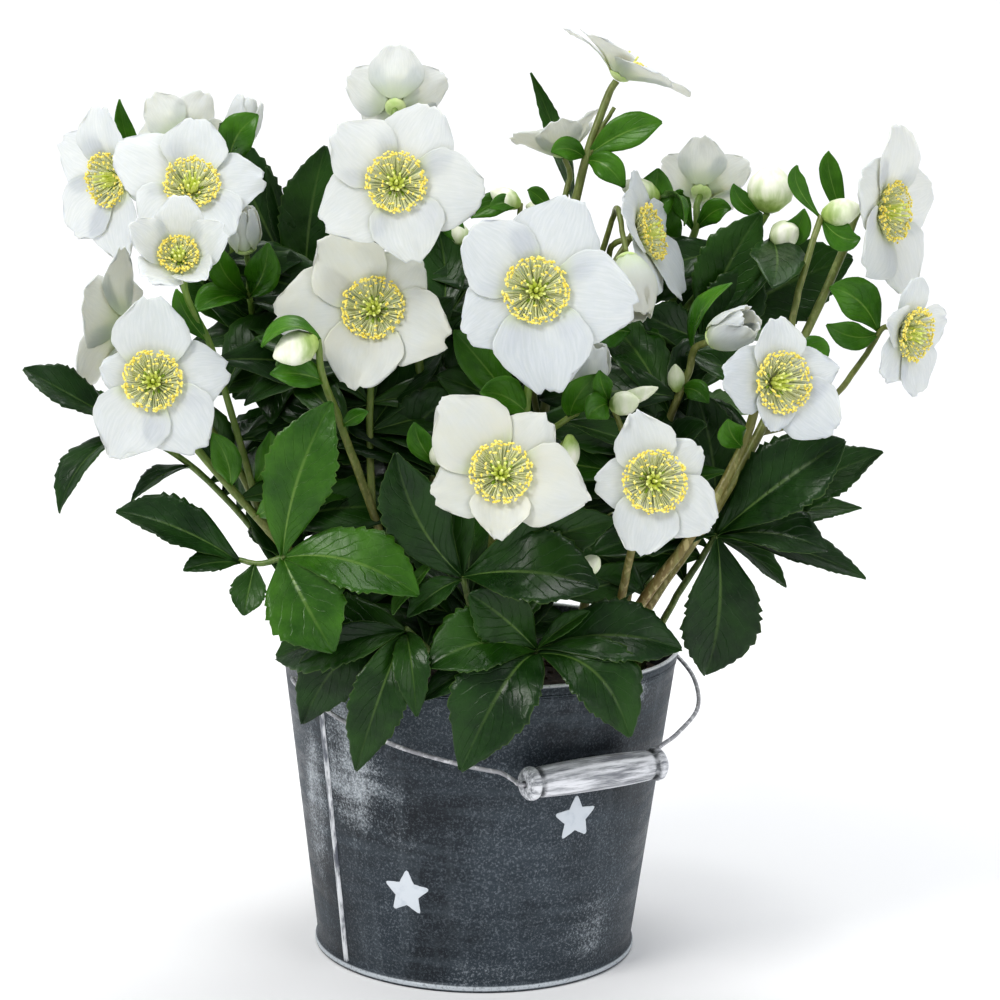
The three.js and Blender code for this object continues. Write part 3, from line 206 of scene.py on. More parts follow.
add_clump("stems_middle", (0, -30, 9), stems=[
    ([(0, -30, 128), (-14, -34, 175), (-24, -40, 240), (-32, -48, 300),
      (-37, -60, 340)], 2.7, 1.8, "bloom_06"),
    ([(-2, -28, 128), (-14, -12, 180), (-26, 8, 260), (-36, 20, 330),
      (-44, 20, 362)], 2.4, 1.7, "bloom_05"),
    ([(2, -32, 128), (8, -38, 185), (16, -52, 240), (20, -74, 292)], 2.7, 1.8, "bloom_10"),
    ([(15, -48, 230), (26, -56, 248), (36, -62, 257)], 1.8, 1.5, "half_open_4"),
    ([(1, -33, 128), (1, -50, 165), (4, -72, 200), (6, -100, 228)], 2.4, 1.7, "bloom_11"),
    ([(4, -34, 149), (28, -62, 178), (44, -82, 194)], 1.6, 1.3),
    ([(12, -46, 212), (26, -66, 236), (36, -82, 252)], 1.6, 1.2),
    ([(-20, -38, 214), (-20, -56, 230), (-20, -70, 238)], 1.6, 1.2),
], fans=[
    ((37, -62, 257), ((47, -84, 279), 13, (-3, -4, 0))),
    ((-20, -68, 236), ((-30, -76, 256), 11, (-2, -2, 0))),
    ((18, -58, 256), ((-14, -62, 294), 18, (-2, 0, 3))),
    ((19, -60, 258), ((-2, -84, 270), 17, (0, 2, 3))),
], buds=[
    ((43, -81, 193), (40, -55, 50), 14, 9),
    ((36, -82, 253), (12, -14, -90), 15, 8),
    ((-20, -69, 237), (10, -60, 60), 14, 9),
], inner=18)
add_clump("stems_top", (14, 8, 8), stems=[
    ([(14, 8, 128), (20, 4, 190), (28, -2, 258), (36, -4, 330), (43, -3, 366)], 3, 1.9, "bloom_14"),
    ([(30, -3, 280), (30, 4, 325), (34, 11, 346)], 1.9, 1.5, "bloom_15"),
    ([(28, -2, 262), (46, -4, 298), (62, 0, 328), (77, 6, 350)], 1.9, 1.6),
    ([(54, -3, 314), (54, -10, 324)], 1.7, 1.6, "bloom_16"),
    ([(46, -3, 299), (50, -12, 322), (55, -24, 342), (56, -42, 346)], 1.6, 1.4, "half_open_5"),
    ([(26, 0, 240), (16, 0, 290), (13, -6, 325), (14, -12, 346)], 1.8, 1.4),
    ([(30, 2, 312), (30, -2, 328), (29, -4, 343)], 1.5, 1.2),
    ([(14, 0, 288), (2, -12, 315), (-9, -24, 329)], 1.6, 1.3),
    ([(43, -3, 364), (50, -3, 380), (55, -3, 389)], 1.3, 1.1),
], fans=[
    ((43, -3, 366), ((27, -14, 369), 11, (0, -2, 3))),
    ((43, -3, 367), ((76, -10, 383), 16, (0, -1, 3))),
    ((43, -3, 365), ((60, -12, 354), 13, (0, -2, 4))),
    ((64, 1, 331), ((76, 8, 362), 20, (3, 3, 0))),
    ((77, 6, 349), ((88, -2, 337), 12, (3, 0, 6), TO_RIGHT, 1)),
    ((14, -12, 344), ((-8, -10, 339), 11, (0, 0, 4))),
    ((14, -12, 345), ((0, -20, 344), 8, (0, -1, 2))),
    ((29, -4, 342), ((17, -12, 352), 8, (-1, -1, 2))),
    ((-9, -24, 327), ((-19, -28, 346), 10, (-2, -2, 0))),
], buds=[
    ((77, 6, 349), (-80, -10, 26), 19, 12),
    ((14, -12, 345), (-90, -10, 42), 15, 10),
    ((29, -4, 342), (-85, -10, 18), 13, 9),
    ((-9, -24, 328), (-60, -20, 75), 13, 9),
], inner=6)
add_clump("stems_right", (52, -34, 9), stems=[
    ([(52, -34, 128), (60, -54, 155), (72, -66, 180), (94, -70, 214),
      (112, -62, 246)], 3.2, 2.2, "bloom_13"),
    ([(55, -31, 128), (66, -44, 155), (78, -54, 180), (99, -58, 214), (118, -50, 246),
      (139, -32, 288), (158, -6, 324)], 3.2, 2, "bloom_18"),
    ([(130, -39, 272), (134, -34, 296), (140, -28, 322), (147, -21, 344)], 2, 1.7),
    ([(120, -48, 250), (140, -34, 254), (158, -22, 266), (171, -12, 282)], 1.8, 1.5, "bloom_19"),
    ([(58, -46, 148), (62, -72, 188), (67, -92, 222)], 2.4, 1.7, "bloom_12"),
    ([(62, -42, 155), (72, -40, 212), (82, -42, 256), (89, -45, 277)], 2.4, 1.8, "half_open_3"),
    ([(72, -41, 214), (64, -60, 240), (54, -79, 266)], 1.8, 1.4),
], fans=[
    ((147, -21, 343), ((135, -26, 366), 8, (-5, 0, 2)), ((164, -26, 335), 13, (0, 0, -4))),
    ((132, -38, 276), ((150, -42, 284), 17, (2, -2, 4))),
    ((91, -46, 283), ((106, -50, 316), 15, (-6, -1, 2), TO_LEFT, 1)),
    ((163, 0, 334), ((150, -14, 372), 10, (-4, 0, 6))),
    ((176, -12, 292), ((152, -20, 312), 19, (2, -2, 4))),
    ((176, -12, 291), ((151, -24, 296), 13, (0, -2, -3))),
    ((112, -63, 246), ((104, -76, 260), 13, (-2, -2, 0))),
    ((86, -43, 268), ((97, -56, 264), 10, (0, -2, 3))),
    ((53, -79, 266), ((43, -90, 261), 13, (0, -2, 2))),
    ((53, -79, 267), ((48, -86, 281), 9, (-1, -1, 0))),
], buds=[
    ((147, -21, 344), (92, -6, 20), 18, 13),
    ((84, -44, 267), (-10, -20, 95), 13, 8),
    ((53, -79, 265), (70, -34, 20), 14, 11),
    ((55, -79, 266), (75, -12, 32), 20, 7),
], inner=16)
add_clump("stems_back", (42, 14, 8), stems=[
    ([(42, 14, 128), (56, 22, 190), (74, 28, 260), (88, 28, 308), (95, 23, 334)], 2.8, 1.8, "bloom_17"),
    ([(82, 29, 284), (104, 24, 312), (120, 12, 332), (126, 6, 343)], 2, 1.7),
    ([(108, 22, 316), (124, 8, 324), (128, 2, 332)], 1.7, 1.5),
], fans=[
    ((90, 27, 312), ((80, 20, 350), 20, (-6, -3, 2))),
    ((95, 24, 332), ((88, 12, 352), 9, (-4, -2, 4))),
    ((95, 24, 333), ((110, 12, 344), 11, (0, -2, 4))),
    ((125, 7, 341), ((110, 4, 356), 9, (-3, 0, -1))),
    ((128, 2, 332), ((141, -6, 346), 13, (3, 0, -4))),
], buds=[
    ((126, 6, 343), (8, 0, 100), 22, 22),
    ((128, 2, 331), (60, -50, 35), 15, 14),
], inner=8)
add_clump("fronds_left", (-66, -14, 9), stems=[
    ([(-66, -14, 128), (-76, -46, 160), (-83, -78, 186), (-84, -97, 201)], 2.1, 1.6),
    ([(-84, -97, 200), (-94, -96, 197), (-103, -93, 198)], 1.6, 1.4),
    ([(-66, -14, 128), (-92, -28, 185), (-126, -46, 228), (-152, -58, 247)], 2.1, 1.5),
], fans=[
    ((-84, -97, 200), ((-64, -98, 267), 27, (-4, -3, 0), TO_FRONT),
     ((-26, -112, 188), 29, (0, -2, 7), FRONT), ((-61, -116, 164), 31, (-2, -3, 3), TO_FRONT)),
    ((-102, -94, 197), ((-153, -106, 220), 26, (0, -2, 4), LEFT),
     ((-124, -114, 197), 12, (0, -2, 2), FRONT, 1)),
    ((-96, -96, 197), ((-99, -112, 178), 14, (0, -3, 0))),
    ((-152, -58, 247), ((-197, -73, 275), 20, (0, -4, 1), LEFT),
     ((-181, -80, 214), 18, (-4, -4, 6), LEFT), ((-181, -52, 262), 12, (0, 0, 2), LEFT, 1)),
    ((-128, -47, 230), ((-153, -60, 216), 13, (0, -2, 4), LEFT, 1)),
    ((-150, -57, 246), ((-128, -40, 282), 22, (0, 3, 0))),
])
add_clump("fronds_front", (12, -64, 10), stems=[
    ([(14, -66, 128), (18, -82, 148), (24, -94, 161)], 2.2, 1.7),
    ([(10, -64, 128), (0, -76, 160), (-8, -90, 192)], 2.1, 1.6),
    ([(6, -66, 128), (-14, -80, 150), (-32, -90, 169)], 2.1, 1.6),
], fans=[
    ((24, -94, 160), ((-7, -113, 113), 33, (2, -9, 14), FRONT),
     ((64, -112, 129), 28, (4, -7, 12), FRONT)),
    ((24, -94, 161), ((-22, -108, 156), 28, (0, -3, 8), FRONT)),
    ((24, -94, 162), ((86, -94, 163), 28, (0, -4, 7), FRONT), ((-5, -102, 187), 24, (0, -1, 2)),
     ((46, -104, 181), 9, (0, -2, 2), FRONT, 1)),
    ((23, -94, 160), ((-24, -104, 141), 18, (0, -3, 6), FRONT, 1)),
    ((-8, -90, 192), ((49, -112, 193), 33, (0, -4, 5), FRONT)),
    ((-6, -90, 194), ((56, -96, 219), 22, (0, -2, 3))),
    ((-8, -90, 192), ((-37, -98, 246), 25, (-4, -2, -3), TO_FRONT)),
    ((-8, -90, 191), ((-31, -100, 176), 12, (0, -3, 3), FRONT, 1)),
    ((-32, -90, 168), ((-88, -78, 152), 35, (2, -8, 6), FRONT)),
    ((-32, -90, 167), ((-76, -82, 124), 25, (-3, -10, 12), TO_FRONT),
     ((-52, -98, 108), 21, (1, -14, 9), TO_FRONT), ((-26, -112, 136), 15, (0, -6, 8))),
])
add_clump("fronds_right", (72, -4, 8), stems=[
    ([(72, -4, 128), (84, -30, 165), (97, -48, 194), (103, -54, 206)], 2.1, 1.7),
    ([(72, 0, 128), (80, 8, 190), (92, 8, 250), (98, 2, 287)], 2.2, 1.6),
], fans=[
    ((103, -54, 206), ((156, -64, 250), 32, (0, -4, 3), RIGHT)),
    ((103, -54, 205), ((176, -42, 242), 24, (0, 3, 2), RIGHT),
     ((170, -26, 214), 14, (0, 3, 3), RIGHT, 1), ((150, -66, 202), 27, (0, -4, 5), RIGHT)),
    ((104, -53, 205), ((170, -48, 186), 20, (0, 1, 4), RIGHT, 1)),
    ((103, -54, 204), ((136, -40, 180), 16, (0, 2, 3), RIGHT, 1)),
    ((103, -54, 205), ((100, -56, 143), 32, (3, -6, 0), (20, -95, 10))),
    ((102, -52, 206), ((91, -46, 270), 23, (4, 2, 0), TO_FRONT)),
    ((98, 2, 287), ((122, -6, 344), 26, (-3, 3, 0), TO_FRONT)),
    ((98, 1, 286), ((135, -8, 327), 8, (2, -3, 0), TO_LEFT, 1)),
    ((98, 2, 286), ((120, 0, 321), 26, (2, -1, -2)), ((168, 24, 322), 33, (0, 4, 4), TO_FRONT)),
    ((97, 2, 286), ((68, -20, 300), 20, (0, -1, -1), TO_FRONT)),
    ((98, 4, 284), ((146, 24, 280), 24, (0, 4, 6), BACK, 1)),
])
add_clump("fronds_middle", (-20, 30, 9), stems=[
    ([(-20, 30, 128), (-38, 22, 200), (-64, 10, 262), (-82, 2, 298)], 2.2, 1.6),
    ([(-16, 28, 128), (-14, 8, 200), (-16, -14, 262), (-20, -26, 294)], 2.1, 1.5),
    ([(-24, 26, 128), (-30, -6, 175), (-40, -28, 215), (-44, -38, 236)], 2.1, 1.5),
], fans=[
    ((-82, 2, 297), ((-122, 14, 378), 25, (-2, 3, 0), TO_FRONT)),
    ((-82, 2, 298), ((-101, 8, 359), 10, (0, 2, 0)), ((-74, 4, 369), 25, (-3, 0, 0), TO_FRONT)),
    ((-80, 3, 296), ((-44, 8, 346), 24, (0, 2, 2))),
    ((-80, 3, 293), ((-116, 16, 252), 28, (0, 7, 0))),
    ((-62, 12, 256), ((-110, 18, 222), 27, (0, 6, 2))),
    ((-58, 14, 250), ((-88, 24, 204), 25, (0, 5, 0))),
    ((-20, -26, 293), ((-24, -10, 338), 19, (3, 5, 0))),
    ((-20, -26, 292), ((2, 8, 330), 22, (2, 6, 0))),
    ((-20, -26, 291), ((-4, -34, 262), 18, (2, -3, 4))),
    ((-20, -26, 292), ((-37, -36, 260), 19, (0, -2, 2))),
    ((-44, -38, 235), ((-76, -44, 280), 25, (0, -2, 0), TO_FRONT), ((-12, -58, 268), 22, (0, -8, 2))),
    ((-44, -38, 234), ((-78, -46, 236), 22, (0, -3, 5), FRONT, 1)),
    ((-41, -31, 219), ((-97, -44, 209), 18, (0, -1, 5), FRONT, 1)),
])
add_clump("fronds_back", (18, 58, 11), stems=[
    ([(18, 58, 128), (14, 84, 175), (6, 104, 212)], 2.3, 1.7),
    ([(22, 58, 128), (52, 78, 180), (84, 88, 226)], 2.3, 1.7),
    ([(14, 58, 128), (-24, 78, 180), (-64, 84, 232)], 2.3, 1.7),
    ([(20, 56, 128), (18, 60, 200), (10, 66, 262)], 2.3, 1.7),
], fans=[
    ((6, 104, 212), ((4, 158, 196), 30, (0, 3, 8), BACK), ((-34, 142, 214), 27, (0, 3, 7), BACK),
     ((44, 142, 216), 27, (0, 3, 7), BACK)),
    ((84, 88, 226), ((132, 118, 206), 28, (0, 3, 8), BACK), ((92, 136, 222), 26, (0, 3, 7), BACK),
     ((140, 82, 244), 25, (0, 3, 5), BACK, 1)),
    ((-64, 84, 232), ((-116, 106, 214), 28, (0, 3, 8), BACK), ((-70, 132, 226), 26, (0, 3, 7), BACK),
     ((-118, 74, 252), 25, (0, 3, 5), BACK, 1)),
    ((10, 66, 262), ((36, 84, 306), 24, (0, 4, 2), BACK, 1), ((-22, 84, 300), 24, (0, 4, 2), BACK, 1),
     ((14, 110, 272), 26, (0, 3, 6), BACK, 1)),
])

# Leaflets besides those of the solids, on the same stalks, each with how young it is.
MORE_LEAVES = {
    "stems_top": [(((38, -2, 345), (18, 38, 403), 9, (4, 20, -4)), 0.3)],
    "fronds_right": [(((64, -25, 291), (46, -31, 285), 13, (0, -1, 3)), 0.6)],
    "fronds_front": [
        (((32, -74, 181), (77, -63, 194), 16, (0, 4, -3)), 0.1),
        (((-16, -91, 203), (-37, -104, 178), 9, (-3, 2, -2), (-60, -60, 50), 1), 0.5),
        (((-8, -90, 192), (-18, -84, 228), 19, (0, 3, 0)), 0.1),
    ],
}

# ---------- vectors ----------
def unit(v):
    return v / np.maximum(np.linalg.norm(v, axis=-1, keepdims=True), 1e-9)


def basis(direction):
    z = unit(np.array(direction, float))
    x = unit(np.cross(UP, z))
    return x, np.cross(z, x), z


def to_world(axes, origin, x, y, z):
    aside = x[..., None] * axes[0]
    return np.array(origin, float) + aside + y[..., None] * axes[1] + z[..., None] * axes[2]


def circle(sides):
    """The angles of the points of a ring."""
    return np.arange(sides) * 2 * math.pi / sides


def ring_at(axes, origin, turns, radius, height):
    """A ring about the third of the axes at a height along it."""
    heights = np.full(len(turns), height)
    return to_world(axes, origin, np.cos(turns) * radius, np.sin(turns) * radius, heights)


def dent(seed, x, y=0.0):
    """A smooth seeded wave between -1 and 1, for small irregular forms."""
    wave = np.sin(1.7 * x + 2.3 * y + seed) + 0.6 * np.sin(3.9 * x - 3.1 * y + 2.1 * seed)
    return (wave + 0.4 * np.sin(7.3 * x + 6.1 * y + 3.7 * seed)) / 2


# ---------- pieces ----------
class Piece:
    """Gathers closed surfaces in millimetres, with where each point lies on its petal or leaf."""

    def __init__(self, name, body, slot, *replaces):
        self.name, self.body, self.slot, self.stands_for = name, body, slot, replaces
        self.points, self.faces, self.places, self.looks, self.marks = [], [], [], [], []
        self.count = 0

    def add(self, points, faces, place, look=(0, 0, 0), mark=0):
        points = points.reshape(-1, 3)
        self.points.append(points)
        self.faces.append(np.array(faces).reshape(-1, 4) + self.count)
        self.places.append(np.broadcast_to(place, (len(points), 3)).reshape(-1, 3))
        self.looks.append(np.broadcast_to(np.array(look, float), (len(points), 3)))
        self.marks.append(np.full(len(self.faces[-1]), mark))
        self.count += len(points)

    def build(self, *materials):
        points = np.concatenate(self.points) * MM
        faces = np.concatenate(self.faces)
        marks = np.concatenate(self.marks)
        triangles = faces[:, 2] == faces[:, 3]
        counts = np.where(triangles, 3, 4)
        keep = np.ones_like(faces, bool)
        keep[triangles, 3] = False
        mesh = bpy.data.meshes.new(self.name)
        mesh.vertices.add(len(points))
        mesh.vertices.foreach_set("co", points.astype(np.float32).ravel())
        mesh.loops.add(int(counts.sum()))
        mesh.loops.foreach_set("vertex_index", faces[keep].astype(np.int32))
        mesh.polygons.add(len(faces))
        starts = np.concatenate([[0], np.cumsum(counts)[:-1]])
        mesh.polygons.foreach_set("loop_start", starts.astype(np.int32))
        mesh.polygons.foreach_set("material_index", marks.astype(np.int32))
        mesh.polygons.foreach_set("use_smooth", np.ones(len(faces), bool))
        for name, values in (("place", self.places), ("look", self.looks)):
            layer = mesh.attributes.new(name, "FLOAT_VECTOR", "POINT")
            layer.data.foreach_set("vector", np.concatenate(values).astype(np.float32).ravel())
        for material in materials:
            mesh.materials.append(material)
        mesh.update()
        mesh.validate()
        piece = bpy.data.objects.new(self.name, mesh)
        bpy.context.scene.collection.objects.link(piece)
        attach(piece, self.body)
        if self.stands_for:
            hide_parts(*self.stands_for)


def sheet_faces(nu, nv):
    """Upper and lower faces of a thin sheet of nu by nv points, and its rim."""
    back = nu * nv
    i, j = np.meshgrid(np.arange(nu - 1), np.arange(nv - 1), indexing="ij")
    a = (i * nv + j).ravel()
    top = np.stack([a, a + nv, a + nv + 1, a + 1], 1)
    under = top[:, ::-1] + back
    right = [k * nv + nv - 1 for k in range(nu)]
    tip = [(nu - 1) * nv + k for k in range(nv - 2, -1, -1)]
    left = [k * nv for k in range(nu - 2, -1, -1)]
    rim = right + tip + left + list(range(1, nv))
    edge = [[a, b, b + back, a + back] for a, b in zip(rim, rim[1:])]
    return np.concatenate([top, under, np.array(edge)])


def add_sheet(piece, middle, thickness, across_grid, along_grid, look, relief):
    """A thin closed sheet about a grid of middle points. place: along, across, 1 on the under side."""
    nu, nv = middle.shape[:2]
    along = np.gradient(middle, axis=0)
    across = np.gradient(middle, axis=1)
    normal = unit(np.cross(along, across))
    edge = np.clip((1 - np.abs(across_grid)) * 6, 0.25, 1)[..., None]
    lift = relief[..., None] * normal
    top = middle + lift + normal * thickness / 2 * edge
    under = middle + lift - normal * thickness / 2 * edge
    place = [np.stack([along_grid, across_grid, np.full_like(along_grid, side)], -1) for side in (0, 1)]
    points = np.concatenate([top.reshape(-1, 3), under.reshape(-1, 3)])
    places = np.concatenate([p.reshape(-1, 3) for p in place])
    piece.add(points, sheet_faces(nu, nv), places, look)


def add_rings(piece, rings, look=(0, 0, 0), mark=0):
    """Rings of equal length in turn, closed at both ends by a fan to their middles."""
    rings = np.array(rings, float)
    n, m = rings.shape[:2]
    i, j = np.meshgrid(np.arange(n - 1), np.arange(m), indexing="ij")
    a, b = (i * m + j).ravel(), (i * m + (j + 1) % m).ravel()
    side = np.stack([a, b, b + m, a + m], 1)
    k = np.arange(m)
    first, last = n * m, n * m + 1
    low = np.stack([(k + 1) % m, k, np.full(m, first), np.full(m, first)], 1)
    high = np.stack([k, (k + 1) % m, np.full(m, last), np.full(m, last)], 1)
    high[:, :2] += (n - 1) * m
    points = np.concatenate([rings.reshape(-1, 3), rings[:1].mean(1), rings[-1:].mean(1)])
    along = np.repeat(np.linspace(0, 1, n), m)
    turn = np.tile(np.arange(m) / m, n)
    place = np.stack([np.append(along, [0, 1]), np.append(turn, [0, 0]), np.zeros(n * m + 2)], 1)
    piece.add(points, np.concatenate([side, low, high]), place, look, mark)


def spline(points, pieces):
    """Points of the curve through the given ones, as in the tubes of the solids, and its directions."""
    p = np.array(points, float)
    p = np.concatenate([[2 * p[0] - p[1]], p, [2 * p[-1] - p[-2]]])
    n = len(p) - 3
    t = np.linspace(0, n, n * pieces + 1)
    k = np.minimum(t.astype(int), n - 1)
    w = (t - k)[:, None]
    p0, p1, p2, p3 = p[k], p[k + 1], p[k + 2], p[k + 3]
    t0, t1 = (p2 - p0) / 2, (p3 - p1) / 2
    c2, c3 = 3 * (p2 - p1) - 2 * t0 - t1, 2 * (p1 - p2) + t0 + t1
    return p1 + t0 * w + c2 * w**2 + c3 * w**3, unit(t0 + 2 * c2 * w + 3 * c3 * w**2)


def tube_rings(path, ways, radii, sides):
    side = basis(ways[0])[0]
    turns = circle(sides)
    rings = []
    for centre, way, radius in zip(path, ways, radii):
        side = unit(side - way * np.dot(side, way))
        other = np.cross(way, side)
        arms = np.outer(np.cos(turns), side) + np.outer(np.sin(turns), other)
        rings.append(centre + radius * arms)
    return rings


def lathe(piece, profile, sides, matrix=None):
    """A profile of [radius, height] turned about the third axis; its ends lie on the axis or close up."""
    turns = circle(sides)
    r, h = np.array(profile, float).T
    x, y = np.outer(r, np.cos(turns)), np.outer(r, np.sin(turns))
    points = np.stack([x, y, np.outer(h, np.ones(sides))], -1)
    if matrix is not None:
        points = points @ matrix[0].T + matrix[1]
    n = len(profile)
    i, j = np.meshgrid(np.arange(n - 1), np.arange(sides), indexing="ij")
    a, b = (i * sides + j).ravel(), (i * sides + (j + 1) % sides).ravel()
    faces = np.stack([a, b, b + sides, a + sides], 1)
    steps = np.concatenate([[0], np.cumsum(np.hypot(np.diff(r), np.diff(h)))])
    along = np.repeat(steps / steps[-1], sides)
    place = np.stack([along, np.tile(np.arange(sides) / sides, n), np.zeros(n * sides)], 1)
    piece.add(points, faces, place)


# ---------- petals ----------
PETAL_ROWS = 25
PETAL_COLUMNS = 17
SEPAL_SHEET = 0.42
HUB_SIDES = 24
HUB_OUTLINE = ((0.6, HUB_BACK), (1.9, HUB_BACK + 0.2), (3.4, -1.5), (4.7, -0.5), (4.9, 0.2), (4.2, 0.8),
               (2, HUB_FRONT), (0.3, HUB_FRONT))


def bend(form, s):
    """The slope, in degrees, at a share of the way from a petal's base to its tip."""
    low = form[0] + (form[1] - form[0]) * s * 2
    return np.where(s < 0.5, low, form[1] + (form[2] - form[1]) * (s - 0.5) * 2)


def mean_length(bloom):
    return sum(petal[1] for petal in bloom["petals"]) / len(bloom["petals"])


def profile(bloom, distance):
    """Radius, height and slope, at a distance from its middle, of the bloom as a turned surface."""
    steps, whole = 10, mean_length(bloom)
    radius = np.full_like(distance, PETAL_START)
    height = np.zeros_like(distance)
    for k in range(steps):
        slope = bend(bloom["form"], distance * (k + 0.5) / steps / whole) * DEG
        radius += np.cos(slope) * distance / steps
        height += np.sin(slope) * distance / steps
    return radius, height, bend(bloom["form"], distance / whole) * DEG


def petal_half(length, s, full, pointed):
    """Half the width of a petal along its length."""
    swell = np.sin(math.pi * (0.9 + 0.08 * pointed) * s) ** 0.7
    return PETAL_FOOT + (length * full - PETAL_FOOT) * swell


def petal_grid():
    """Shares along and across a petal, closer to one another at its edges."""
    quarter = math.pi / 2 * 0.94
    s = np.linspace(0, 1, PETAL_ROWS) ** 0.9
    t = np.sin(np.linspace(-1, 1, PETAL_COLUMNS) * quarter) / math.sin(quarter)
    return np.meshgrid(s, t, indexing="ij")


def petal_surface(bloom, angle, length, pointed, edges, seed, full):
    """The middle surface of a petal: a strip of the bloom's cone with a waved, lapped and folded edge."""
    s, t = petal_grid()
    far_edge = np.abs(t)
    round_tip = 0.1 * t**2 + 0.06 * far_edge**6 * s
    notch = (0.045 - 0.05 * pointed) * np.exp(-((t - 0.2 * math.sin(seed * 3)) ** 2) * 30) * s**8
    ragged = (0.03 * dent(seed, t * 4) + 0.006 * dent(seed + 3, t * 15)) * s**7
    reach = length * (s * (1 - round_tip) - notch - ragged)
    radius, _, slope = profile(bloom, reach)
    uneven = 1 + 0.045 * dent(seed + 4, s * 5, t) + 0.006 * dent(seed + 8, s * 22, t)
    across = t * petal_half(length, s, full, pointed) * uneven
    curve = np.cos(slope) / radius
    curve = np.where(np.abs(curve) < 1e-4, 1e-4, curve)
    cone = 1 / np.abs(curve)
    turn = angle * DEG + np.arctan2(across, cone) * cone / radius
    shift = (np.hypot(cone, across) - cone) * np.sign(curve)
    spot_radius, spot_height, spot_slope = profile(bloom, reach + shift)
    edge = LAP_FOOT + (LAP_EDGE - LAP_FOOT) * np.minimum(1, s * 3)
    wave = 0.85 * s * t**2 * np.sin(5 * s + 2.4 * t + seed) + 1.1 * s**4 * dent(seed + 9, t * 1.7)
    fold = (0.75 * dent(seed + 2, s * 2.2, t * 1.9) + 0.3 * dent(seed + 6, s * 5, t * 4.2)) * s
    crease = 0.5 * np.exp(-((t / 0.1) ** 2)) * (1 - s) * s * 2
    lap = edge * np.where(t < 0, edges[0], edges[1]) * far_edge**1.5
    lift = lap + wave + (fold - crease) * (length > 20)
    radius = spot_radius - np.sin(spot_slope) * lift
    height = spot_height + np.cos(spot_slope) * lift
    x, y = np.cos(turn) * radius, np.sin(turn) * radius
    return to_world(basis(bloom["face"]), bloom["at"], x, y, height), s, t


def add_petals(piece, bloom, number, cream, full):
    for k, petal in enumerate(bloom["petals"]):
        angle, length = petal[:2]
        pointed = petal[2] if len(petal) > 2 else 0
        seed = number + 1.7 * k
        middle, s, t = petal_surface(bloom, angle, length, pointed, EDGES[k], seed, full)
        ribs = 0.02 * np.sin(t * 26 + dent(seed, s * 4) * 1.5) * np.sin(math.pi * s)
        add_sheet(piece, middle, SEPAL_SHEET, t, s, (seed % 1, cream, length / 40), ribs)


def add_hub(piece, bloom, look):
    """The short receptacle that the petals stand on."""
    axes = basis(bloom["face"])
    rings = [ring_at(axes, bloom["at"], circle(HUB_SIDES), r, h) for r, h in HUB_OUTLINE]
    add_rings(piece, rings, look, 1)


def build_petals(name, title, bloom, number, cream, full, looks):
    petals = Piece(title, "pot", "petals", name)
    add_petals(petals, bloom, number, cream, full)
    add_hub(petals, bloom, (0.3, cream, 1))
    petals.build(looks["petal"], looks["sepal_base"])


# ---------- stamens ----------
STAMENS = 170
GOLDEN_SHARE = 0.382
NECTARIES = 11
PISTILS = 8
FILAMENT = (0.26, 0.36, 0.32, 0.24)
ANTHER = (0.12, 0.46, 0.6, 0.46, 0.12)
NECTARY = (0.25, 0.5, 0.7, 0.75, 0.45)
PISTIL = (0.9, 1.2, 0.95, 0.5, 0.42, 0.6)


def add_spindle(piece, base, tip, radii, sides, steps, chance, mark, bow=None):
    """A slim solid from base to tip whose radius follows the given list."""
    s = np.linspace(0, 1, steps)
    base, tip = np.array(base, float), np.array(tip, float)
    path = base + (tip - base) * s[:, None]
    if bow is not None:
        path = path + np.array(bow) * (4 * s * (1 - s))[:, None]
    ways = unit(np.gradient(path, axis=0))
    thick = np.interp(s, np.linspace(0, 1, len(radii)), radii)
    add_rings(piece, tube_rings(path, ways, thick, sides), (chance, 0, 0), mark)


def add_centre(piece, bloom, number):
    """The ring of stamens, the green nectaries at its foot, and the clump of pistils in its middle."""
    rng = np.random.default_rng(100 + number)
    axes = basis(bloom["face"])
    size = bloom["size"]
    floor = HUB_FRONT + GAP

    def spot(r, turn, h):
        x, y = r * math.cos(turn), r * math.sin(turn)
        return to_world(axes, bloom["at"], np.float64(x), np.float64(y), np.float64(h))

    for k in range(STAMENS):
        turn = 2 * math.pi * (k * GOLDEN_SHARE + rng.uniform(-0.02, 0.02))
        inner = k % 6 == 0
        far = size * (rng.uniform(5.4, 10) if inner else rng.uniform(10.6, 12.9))
        rise = floor + size * (9.3 - 0.16 * far / size + rng.uniform(-1.6, 0.6))
        base = spot(size * rng.uniform(1.8, 3.0), turn, floor - 0.2)
        tip = spot(far, turn + rng.uniform(-0.1, 0.1), rise)
        bow = -axes[2] * far * 0.07 + unit(base - spot(0, 0, floor)) * far * 0.06
        add_spindle(piece, base, tip, FILAMENT, 3, 5, rng.uniform(), 0, bow)
        across = unit(np.cross(tip - base, axes[2])) * size * rng.uniform(0.6, 0.95)
        tilt = axes[2] * rng.uniform(-0.25, 0.25) + unit(tip - base) * rng.uniform(-0.5, 0.6)
        ends = (tip - across * 0.9 - tilt, tip + across * 0.9 + tilt)
        add_spindle(piece, *ends, ANTHER, 5, 4, rng.uniform(), 1)
    for k in range(NECTARIES):
        turn = 2 * math.pi * (k + 0.3 * rng.uniform()) / NECTARIES
        ends = (spot(size * 3.2, turn, floor - 0.3), spot(size * 5.6, turn, floor + size * 1.9))
        add_spindle(piece, *ends, NECTARY, 7, 6, rng.uniform(), 2)
    for k in range(PISTILS + 1):
        turn = 2 * math.pi * k / PISTILS
        lean = 0 if k == PISTILS else 1.7
        base = spot(lean * size, turn, floor)
        tip = spot((lean * 1.9 + 0.4) * size, turn + 0.3, floor + size * rng.uniform(8.6, 11.4))
        add_spindle(piece, base, tip, PISTIL, 7, 9, rng.uniform(), 3)


